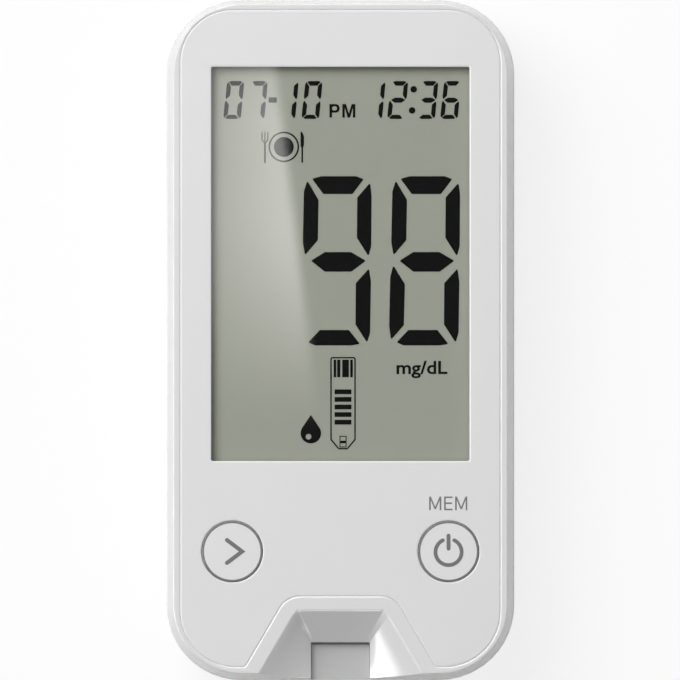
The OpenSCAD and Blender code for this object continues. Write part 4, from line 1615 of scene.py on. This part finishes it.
    def letters(self) -> list[Surface]:
        """The afternoon sign and the unit.

        Returns:
            Their letters.
        """
        size = np.array(self.letter_size)
        p, m = (np.array([x, self.letter_y]) for x in self.letter_x)
        bowl = Outline.polygon(self.LETTER_P * size + p)
        bowl = replace(bowl, radii=np.array([1, 1, 1, 18, 18, 1]) * 0.03)
        eye = Outline.box((0.2, 0.53) * size + p, (0.58, 0.83) * size + p, 0.27)
        made = self.mark(bowl, eye) + self.mark(Outline.polygon(self.LETTER_M * size + m, 0.02))
        return made + [text_surface("mg/dL", self.unit_place, self.unit_size, self.z, 0.02)]

    def build(self) -> None:
        """Makes one piece for each group of segments."""
        value = self.digits(self.VALUE, self.value_y, self.DIGIT_SIZE, grow=self.value_grow)
        groups = {"lcd_value": value, "lcd_clock": self.clock(), "lcd_meal": self.meal(),
                  "lcd_strip": self.strip() + self.drop(), "lcd_letters": self.letters()}
        for name, surfaces in groups.items():
            shape_piece(name, surfaces, SEGMENTS.material(), Place(Body.CASE, "lcd_glass"), Edge.CRISP)


# ------------------------------------------------------------------------------ strip port


@dataclass
class StripGuide:
    """Floor of the strip channel, with ears that hook behind the end wall."""

    scoop: Scoop
    wall: float = 1.6
    relief: tuple[float, float] = (0.26, 0.5)
    corner_r: float = 0.2
    foot_round: float = 0.1
    top_r: float = 0.1
    top_round: float = 0.08
    top_t: float = 0.2
    ledge_gap: float = 0.1

    def build(self) -> None:
        """Makes the guide of a base, a floor, and a ledge past the relief under the slot."""
        low, high = box_of("strip_guide")
        half, hook = self.scoop.channel_half, low[1] + self.wall
        sides = [(half, low[1]), (half, hook), (high[0], hook), (high[0], high[1])]
        around = np.array([*sides, *((-x, y) for x, y in reversed(sides))])
        level = high[2] - self.relief[1]
        base = Outline.polygon(around, self.corner_r)
        made = plate(base, (low[2], level), foot=self.foot_round)
        half, slot_y = half - TUCK, self.scoop.slot_y
        floor = (low[1] + TUCK, slot_y - self.relief[0])
        ledge = (slot_y + self.ledge_gap, high[1] - TUCK)
        for near, far in (floor, ledge):
            outline = Outline.box((-half, near), (half, far), self.top_r, 4)
            made += plate(outline, (level - self.top_t, high[2]), top=self.top_round)
        shape_piece("strip_guide_floor", made, GUIDE.material(),
                    Place(Body.CASE, "guide", ("strip_guide",)))


# ------------------------------------------------------------------------------ batteries


@dataclass
class Batteries:
    """Two AAA cells that lie in opposite directions, and the contacts at their ends.

    A spring's coils start at one share of its plate's half height and lose another.
    """

    length: float = 44.5
    nub_r: float = 1.9
    band_y: float = 36.5
    plate_t: float = 0.4
    plate_wide: float = 1.05
    plate_r: float = 0.12
    tab_half: float = 1.0
    tab_r: float = 0.1
    link_half: float = 2.1
    wire_r: float = 0.3
    turns: int = 3
    coil: tuple[float, float] = (0.85, 0.3)
    spring_l: float = 2.51

    @property
    def axis_z(self) -> float:
        """Height of the cells' axes."""
        return sum(box_of("battery_left")[:, 2]) / 2

    def cell(self, node: str, towards: float) -> None:
        """Makes one cell of a can, a foil jacket and an insulating washer round the nub.

        Each is a profile of (radius, height) turned about the cell's axis, and the height then
        runs along Y from the flat end.

        Args:
            node: The cell's node.
            towards: Direction of its nub along Y, 1 or -1.
        """
        low, high = box_of(node)
        centre, radius = (low + high) / 2, (high[0] - low[0]) / 2
        start = low[1] if towards > 0 else high[1]
        top = self.length
        can = rounded_profile(
            [(radius - 2.6, 0.12), (radius - 2.3, 0.0), (radius - 1.1, 0.0), (radius - 0.25, 0.25),
             (radius - 0.12, 0.6), (radius - 0.12, top - 2.2), (radius - 0.5, top - 1.5),
             (radius - 1.6, top - 1.25), (self.nub_r, top - 1.25), (self.nub_r, top)],
            np.array([0.1, 0.1, 0.3, 0.2, 0.3, 0.3, 0.3, 0.3, 0.15, 0.25]))
        foil = [(radius - 0.45, 0.3), (radius - 0.04, 0.52), (radius, 0.75), (radius, top - 2.1),
                (radius - 0.04, top - 1.9), (radius - 0.62, top - 1.45),
                (radius - 0.75, top - 1.6), (radius - 0.3, top - 2.1), (radius - 0.3, 0.6)]
        washer = [(self.nub_r + 0.1, top - 1.3), (radius - 1.0, top - 1.3),
                  (radius - 1.1, top - 1.12), (self.nub_r + 0.15, top - 1.12)]
        jacket = Jacket(f"{node}_foil", centre[0], start + towards * self.band_y, towards)
        for name, profile, finish in (("can", can, NICKEL), ("jacket", [*foil, foil[0]], jacket),
                                      ("washer", [*washer, washer[0]], WHITE)):
            turned = revolved(profile, (0.0, 0.0), 72).mapped((0, 2, 1))
            along = replace(turned, points=turned.points * [1, towards, 1])
            nodes = (node,) if name == "can" else ()
            shape_piece(f"{node}_{name}", [along.shifted((centre[0], start, centre[2]))],
                        finish.material(), Place(Body.CASE, "cell_jacket", nodes))

    def contact(self, node: str, x: float, y: float, spring: float) -> list[Surface]:
        """Plate with its tab up to the board, and a conical spring where it has one.

        With s from 0 to 1 along the wire, the angle is 2 pi n s, the radius falls in proportion
        to s, and the wire climbs in proportion to s from the plate.

        Args:
            node: Its node.
            x: Middle of the plate.
            y: The end wall's side of the plate.
            spring: Direction of the spring along Y, or 0 for none.

        Returns:
            The plate, the tab and the spring.
        """
        low, high = box_of(node)
        axis_z = self.axis_z
        half = axis_z - low[2]
        inner = y + self.plate_t * (1 if y < 0 else -1)
        front, back = sorted((y, inner))
        wide, tab = self.plate_wide * half, self.tab_half
        made = block((x - wide, front, axis_z - half), (x + wide, back, axis_z + half), self.plate_r)
        made += block((x - tab, front + TUCK, axis_z), (x + tab, back - TUCK, high[2]), self.tab_r)
        if spring:
            s = np.linspace(0, 1, 36 * self.turns)
            radius = half * (self.coil[0] - self.coil[1] * s)
            angle = 2 * np.pi * self.turns * s
            rise = self.wire_r + (self.spring_l - 2 * self.wire_r) * s
            path = np.stack([x + radius * np.cos(angle), inner + spring * rise,
                             axis_z + radius * np.sin(angle)], -1)
            made.append(tube(path, self.wire_r, 12))
        return made

    def build(self) -> None:
        """Makes the cells and the three contacts."""
        self.cell("battery_left", 1.0)
        self.cell("battery_right", -1.0)
        left, right = (sum(box_of(n)[:, 0]) / 2 for n in ("battery_left", "battery_right"))
        near_y, far_y = box_of("battery_link")[0, 1], box_of("battery_positive")[1, 1]
        link = self.contact("battery_link", left, near_y, 1.0)
        link += self.contact("battery_link", right, near_y, 0.0)
        link += block((left, near_y + TUCK, self.axis_z - self.link_half),
                      (right, near_y + self.plate_t - TUCK, self.axis_z + self.link_half), self.tab_r)
        parts = {"battery_link": link,
                 "battery_positive": self.contact("battery_positive", left, far_y, 0.0),
                 "battery_negative": self.contact("battery_negative", right, far_y, -1.0)}
        for node, surfaces in parts.items():
            shape_piece(f"{node}_contact", surfaces, NICKEL.material(),
                        Place(Body.CASE, "nickel", (node,)))


# ------------------------------------------------------------------------------ battery door


@dataclass
class BatteryDoor:
    """Sliding door that wraps up the far end, with tongues, a ribbed thumb grip and an arrow.

    arrow holds the arrow head's half width, where it starts along Y, and its height.
    """

    thickness: float = 1.3
    tongue: float = 0.9
    tongue_t: float = 0.5
    tongue_r: float = 0.3
    tongue_round: float = 0.1
    back_round: float = 4.9
    back_rise: float = 7.9
    lip: float = 0.5
    edge: float = 0.16
    edge_steps: int = 5
    bend_steps: int = 28
    grip_low: tuple[float, float] = (-7.0, 27.5)
    grip_high: tuple[float, float] = (7.0, 38.5)
    grip_r: float = 3.0
    grip_depth: float = 0.5
    ribs: int = 6
    rib_half: tuple[float, float] = (5.5, 0.35)
    rib_r: float = 0.3
    rib_share: float = 0.9
    arrow: tuple[float, float, float] = (1.6, 40.0, 2.2)
    arrow_depth: float = 0.2
    ramp: float = 0.3

    @staticmethod
    def rounded_box(x: Array, y: Array, low: Array, high: Array, radius: float) -> Array:
        """Distance outside a rounded rectangle, which is below 0 inside it.

        With q how far |p - centre| exceeds half the size less the radius, it is the length of
        the positive part of q, plus the larger coordinate of q where that is below 0, less the
        radius.

        Args:
            x: X of the points.
            y: Y of the points.
            low: Lower left corner of the rectangle.
            high: Its upper right corner.
            radius: Radius of its corners.

        Returns:
            The distance of each point.
        """
        qx, qy = (np.abs(p - (a + b) / 2) - (b - a) / 2 + radius
                  for p, a, b in zip((x, y), low, high))
        beyond = np.hypot(np.maximum(qx, 0), np.maximum(qy, 0))
        return beyond + np.minimum(np.maximum(qx, qy), 0) - radius

    def inside(self, distance: Array) -> Array:
        """1 inside and 0 outside an edge, with a smooth ramp of 3 t^2 - 2 t^3."""
        t = np.clip(0.5 - distance / self.ramp, 0, 1)
        return t * t * (3 - 2 * t)

    def sunk(self, x: Array, y: Array) -> Array:
        """Depth of the thumb grip between its ribs, and of the arrow.

        Args:
            x: X of the points.
            y: Y of the points.

        Returns:
            How far the face lies in at each point.
        """
        grip = self.inside(self.rounded_box(x, y, self.grip_low, self.grip_high, self.grip_r))
        pitch = (self.grip_high[1] - self.grip_low[1]) / (self.ribs + 1)
        half = np.array(self.rib_half)
        for number in range(1, self.ribs + 1):
            centre = np.array([0, self.grip_low[1] + number * pitch])
            rib = self.inside(self.rounded_box(x, y, centre - half, centre + half, self.rib_r))
            grip = grip * (1 - self.rib_share * rib)
        half, foot, height = self.arrow
        slant = ((np.abs(x) - half) * height + (y - foot) * half) / np.hypot(half, height)
        arrow = self.inside(np.maximum(foot - y, slant))
        return self.grip_depth * grip + self.arrow_depth * arrow

    def stations(self, low: Array, high: Array, end_y: float) -> tuple[Array, ...]:
        """Path of the skin: along the back face, round a quarter of an ellipse and up the end.

        At its two ends the outer face drops by a quarter of a circle. The steps are fine where
        the grip and the arrow are.

        Args:
            low: Lowest corner of the door.
            high: Its highest corner.
            end_y: Where the bend starts.

        Returns:
            y, z, the sine and cosine of the turn, the least depth and the half width.
        """
        e = self.edge
        turn = quarter(self.edge_steps)
        start = low[1] + self.tongue
        foot, tip = self.arrow[1], self.arrow[1] + self.arrow[2]
        flat_y = np.concatenate([
            start + e * (1 - np.cos(turn)), np.linspace(start + 1, self.grip_low[1] - 1, 12),
            np.arange(self.grip_low[1] - 0.4, self.grip_high[1] + 0.4, 0.1),
            np.arange(foot - 0.3, tip + 0.3, 0.12), [end_y - 0.001, end_y]])
        angle = quarter(self.bend_steps)[1:]
        rise_z = np.concatenate([[high[2] - self.lip], high[2] - e * (1 - np.sin(turn))])
        y = np.concatenate([flat_y, np.full(len(angle) + len(rise_z), end_y)])
        z = np.concatenate([np.full(len(flat_y) + len(angle), low[2] + self.back_rise), rise_z])
        sine = np.concatenate([np.zeros(len(flat_y)), np.sin(angle), np.ones(len(rise_z))])
        cosine = np.concatenate([np.ones(len(flat_y)), np.cos(angle), np.zeros(len(rise_z))])
        least = np.zeros(len(y))
        least[: len(turn)] = e * (1 - np.sin(turn))
        least[-len(turn):] = e * (1 - np.cos(turn))
        wide = np.arange(len(y)) >= len(flat_y) - 1
        half = np.where(wide, high[0], high[0] - self.tongue)
        return y, z, sine, cosine, least, half

    def skin(self) -> Surface:
        """Closed skin: a rounded cross-section carried along the path.

        A point at depth d lies (a - d) sin t along Y and (b - d) cos t down from the middle of
        the ellipse, where a and b are its half axes. Near an edge the outer and inner faces
        close in by e - sqrt(e^2 - u^2), where u is how far past the flat part they are.

        Returns:
            The skin.
        """
        low, high = box_of("battery_door")
        end_y = high[1] - self.back_round
        y, z, sine, cosine, least, half = self.stations(low, high, end_y)
        e = self.edge
        # steps across half the door are fine over the arrow and along the grip's side
        fine = np.concatenate([
            np.arange(0, self.arrow[0] + 0.3, 0.15), np.arange(2.4, 4.9, 0.6),
            np.arange(5.1, self.grip_high[0] + 0.35, 0.12), np.arange(8.0, 12.2, 1.0)])
        fine = np.concatenate([-fine[:0:-1], fine])
        rim = e * (1 - np.sin(quarter(self.edge_steps)))
        right = half[:, None] - rim
        x = np.hstack([-right[:, ::-1], np.broadcast_to(fine, (len(y), len(fine))), right])
        past = np.clip(np.abs(x) - (half[:, None] - e), 0, e)
        close = e - np.sqrt(e**2 - past**2)
        outer = np.maximum(close, least[:, None])
        outer = np.maximum(outer, self.sunk(x, y[:, None]) * (sine == 0)[:, None])
        inner = self.thickness - close
        x = np.hstack([x, x[:, ::-1]])
        depth = np.hstack([outer, inner[:, ::-1]])
        middle = np.full_like(depth[:1], self.thickness / 2)
        depth = np.vstack([middle, depth, middle])
        x, y, z, sine, cosine = (np.concatenate([v[:1], v, v[-1:]]) for v in (x, y, z, sine, cosine))
        along = y[:, None] + (self.back_round - depth) * sine[:, None]
        down = z[:, None] - (self.back_rise - depth) * cosine[:, None]
        return grid(np.stack([x, along, down], -1), wrap_u=True)

    def build(self) -> None:
        """Makes the door of its skin and the tongues that run in the case's grooves."""
        low, high = box_of("battery_door")
        outline = Outline.box(low[:2], (high[0], high[1] - self.back_round), self.tongue_r, 4)
        top = low[2] + self.thickness - TUCK
        tongues = plate(outline, (top - self.tongue_t, top), top=self.tongue_round,
                        foot=self.tongue_round)
        shape_piece("battery_door_skin", [self.skin(), *tongues], SHELL.material(),
                    Place(Body.DOOR, "shell", ("battery_door",)))


# ------------------------------------------------------------------------------ fasteners


@dataclass
class Fasteners:
    """Screws of the case and of the board."""

    head_r: float = 1.9
    far_x: float = 17.425

    def case_places(self) -> Array:
        """Works out the centres of the four case screws from the box round all of them.

        Returns:
            Their places (x, y), the far ones first.
        """
        low, high = box_of("case_screws")
        near_x, far_y, near_y = high[0] - self.head_r, high[1] - self.head_r, low[1] + self.head_r
        return np.array([(self.far_x, far_y), (-self.far_x, far_y), (near_x, near_y), (-near_x, near_y)])

    def build(self) -> None:
        """Gives the screws their plating."""
        for node in ("case_screws", "board_screws"):
            frame_piece(node, STEEL.material(), Place(Body.CASE, "zinc"))


# ------------------------------------------------------------------------------ studio


@dataclass(frozen=True)
class Lamp:
    """Rectangular lamp that faces the meter. Lengths are in metres, and its power in watts."""

    name: str
    place: tuple[float, float, float]
    size: tuple[float, float]
    power: float
    diffuse: bool = True
    gloss: bool = True

    TARGET = (0.0, 0.0, 0.015)

    def build(self) -> None:
        """Puts the lamp into the scene, where the camera doesn't see it."""
        data = bpy.data.lights.new(self.name, "AREA")
        data.shape = "RECTANGLE"
        data.size, data.size_y = self.size
        data.energy = self.power
        lamp = bpy.data.objects.new(self.name, data)
        lamp.location = self.place
        turn = (Vector(self.TARGET) - Vector(self.place)).to_track_quat("-Z", "Y")
        lamp.rotation_euler = turn.to_euler()
        lamp.visible_camera = False
        lamp.visible_diffuse = self.diffuse
        lamp.visible_glossy = self.gloss
        bpy.context.scene.collection.objects.link(lamp)


@dataclass
class Studio:
    """Camera, lamps, floor and background.

    The card's bright pane has a leaning right edge, and fades towards its foot and its top. Each
    of these is a place and a width in millimetres. Its light rises along X from the place and
    over the width in pane_rise.
    """

    distance: float = 3.0
    frame_height: float = 0.0970
    camera_x: float = -0.00005
    focus_z: float = 0.012
    sensor: float = 36.0
    ambient: float = 0.27
    floor_half: float = 3000.0
    floor_z: float = -0.05
    floor_seen: float = 0.8
    floor_mirrored: float = 0.3
    card_z: float = 300.0
    window: float = 5.2
    dark: float = 0.04
    pane_lean: float = 0.12
    pane_edge: tuple[float, float] = (-4.7, 2.4)
    pane_foot: tuple[float, float] = (3.0, 34.0)
    pane_top: tuple[float, float] = (40.0, 20.0)
    pane_rise: tuple[float, float] = (-17.0, 12.0)
    pane_share: float = 0.6

    LAMPS = (
        Lamp("key_lamp", (-0.42, 0.42, 0.8), (0.7, 0.7), 8.4),
        Lamp("left_lamp", (-2.4, -0.15, 0.27), (1.2, 0.36), 7.2, gloss=False),
        Lamp("far_lamp", (-0.3, 2.4, 0.27), (1.2, 0.36), 6.0, gloss=False),
        Lamp("right_lamp", (2.4, -0.42, 0.09), (1.2, 0.18), 10.0, gloss=False),
        Lamp("side_card", (-0.61, -0.17, 0.22), (0.4, 0.34), 4.2, diffuse=False),
        Lamp("mouth_card", (0.17, -0.58, 0.06), (0.4, 0.12), 1.8, diffuse=False),
        Lamp("left_card", (-0.62, 0.0, 0.62), (0.42, 0.42), 2.6, diffuse=False),
        Lamp("far_card", (0.0, 0.62, 0.62), (0.42, 0.42), 3.2, diffuse=False),
    )

    def camera(self) -> None:
        """Camera that looks straight down on the display."""
        data = bpy.data.cameras.new("camera")
        data.sensor_width = self.sensor
        data.lens = self.sensor * self.distance / self.frame_height
        data.clip_start, data.clip_end = 0.1, 20.0
        camera = bpy.data.objects.new("camera", data)
        camera.location = (self.camera_x, 0.0, self.focus_z + self.distance)
        bpy.context.scene.collection.objects.link(camera)
        bpy.context.scene.camera = camera

    def world(self) -> None:
        """White for the camera and in reflections, and a plain level of light elsewhere."""
        graph = Graph(bpy.data.worlds.new("studio"))
        diffuse = graph.node("ShaderNodeLightPath", output="Is Diffuse Ray")
        level = graph.node("ShaderNodeMapRange", None,
                           {"Value": diffuse, "To Min": 1.0, "To Max": self.ambient})
        back = graph.node("ShaderNodeBackground", None, {"Color": WHITE_LIGHT, "Strength": level})
        bpy.context.scene.world = graph.surface(back, "ShaderNodeOutputWorld")

    @staticmethod
    def stand(name: str, outline: Outline, z: float, material: bpy.types.Material) -> bpy.types.Object:
        """Adds a flat sheet that isn't part of the meter.

        Args:
            name: Its name.
            outline: Its outline, in millimetres.
            z: Its height, in millimetres.
            material: Its finish.

        Returns:
            The sheet.
        """
        mesh = new_mesh(name, [sheet(outline, [], z)])
        mesh.materials.append(material)
        flat = bpy.data.objects.new(name, mesh)
        bpy.context.scene.collection.objects.link(flat)
        return flat

    def floor(self) -> None:
        """White floor that takes a soft shadow, just under the meter."""
        graph = Graph(bpy.data.materials.new("floor_paper"))
        kinds = ("Is Camera Ray", "Is Glossy Ray", "Is Transmission Ray")
        camera, mirrored, through = (graph.node("ShaderNodeLightPath", output=kind) for kind in kinds)
        white = camera * self.floor_seen + (mirrored + through) * self.floor_mirrored
        tone = graph.blend(white.above(0.1, 0.1), (0.6, 0.6, 0.6), (0.97, 0.97, 0.97))
        paper = graph.node("ShaderNodeBsdfDiffuse", None, {"Color": tone})
        glow = graph.node("ShaderNodeEmission", None, {"Color": WHITE_LIGHT, "Strength": 1.0})
        mixed = graph.node("ShaderNodeMixShader", None, {0: white, 1: paper, 2: glow})
        half = self.floor_half
        outline = Outline.box((-half, -half), (half, half), 1.0, 1)
        self.stand("floor", outline, self.floor_z, graph.surface(mixed))

    def window_card(self) -> None:
        """Bright card over the display that only reflections show, as a window would."""
        stretch = 1 + self.card_z * MM / self.distance
        graph = Graph(bpy.data.materials.new("window_light"))
        across, along = (graph.axis(name) * (1 / MM / stretch) for name in "XY")
        inside = 1 - (across + along * self.pane_lean).above(*self.pane_edge)
        fade = along.above(*self.pane_foot) * (1 - along.above(*self.pane_top))
        rise = (across - self.pane_rise[0]) * (1 / self.pane_rise[1])
        share = rise * self.window * self.pane_share + self.window * (1 - self.pane_share)
        glow = graph.node("ShaderNodeEmission", None, {
            "Color": WHITE_LIGHT, "Strength": inside * fade * share + self.dark})
        low, high = box_of("display_window")[:, :2] * stretch
        card = self.stand("window_card", Outline.box(low, high, 0.5, 1), self.card_z, graph.surface(glow))
        card.visible_camera = False
        card.visible_diffuse = False
        card.visible_shadow = False

    def build(self) -> None:
        """Sets up the whole studio."""
        self.camera()
        self.world()
        self.floor()
        self.window_card()
        for lamp in self.LAMPS:
            lamp.build()
        bpy.context.scene.view_settings.view_transform = "Standard"


# ------------------------------------------------------------------------------ meter


def dress_inside() -> None:
    """Gives the pieces inside the case and the rear cover their finishes."""
    dressed = (("lcd_holder", WHITE, "white_plastic"), ("strip_connector", WHITE, "white_plastic"),
               ("processor_chip", EPOXY, "chip"), ("memory_chip", EPOXY, "chip"),
               ("board_components", CERAMIC, "component"), ("main_board", BOARD, "circuit_board"),
               ("display_gasket", FOAM, "foam"), ("zebra_strip", SILICONE, "silicone"),
               ("lcd_rear_glass", CELL, "lcd_glass"), ("lcd_reflector", CELL, "reflector"),
               ("strip_contacts", GOLD, "gold_plate"), ("buzzer", BRASS, "sounder"))
    for node, finish, slot in dressed:
        frame_piece(node, finish.material(), Place(Body.CASE, slot))
    frame_piece("rear_cover", SHELL.material(), Place(Body.CASE, "shell"), bevel=0.1)


def main() -> None:
    """Builds the meter and its studio."""
    logging.basicConfig(level=logging.INFO, format="%(message)s")
    case, scoop, display, keys = Case(), Scoop(), Display(), Keypad()
    panel = FrontPanel(scoop, case)
    FrontCover(case, scoop, panel, display, keys).build()
    panel.build(display, keys)
    keys.build()
    display.build()
    StripGuide(scoop).build()
    Batteries().build()
    BatteryDoor().build()
    Fasteners().build()
    dress_inside()
    Studio().build()


if __name__ == "__main__":
    main()
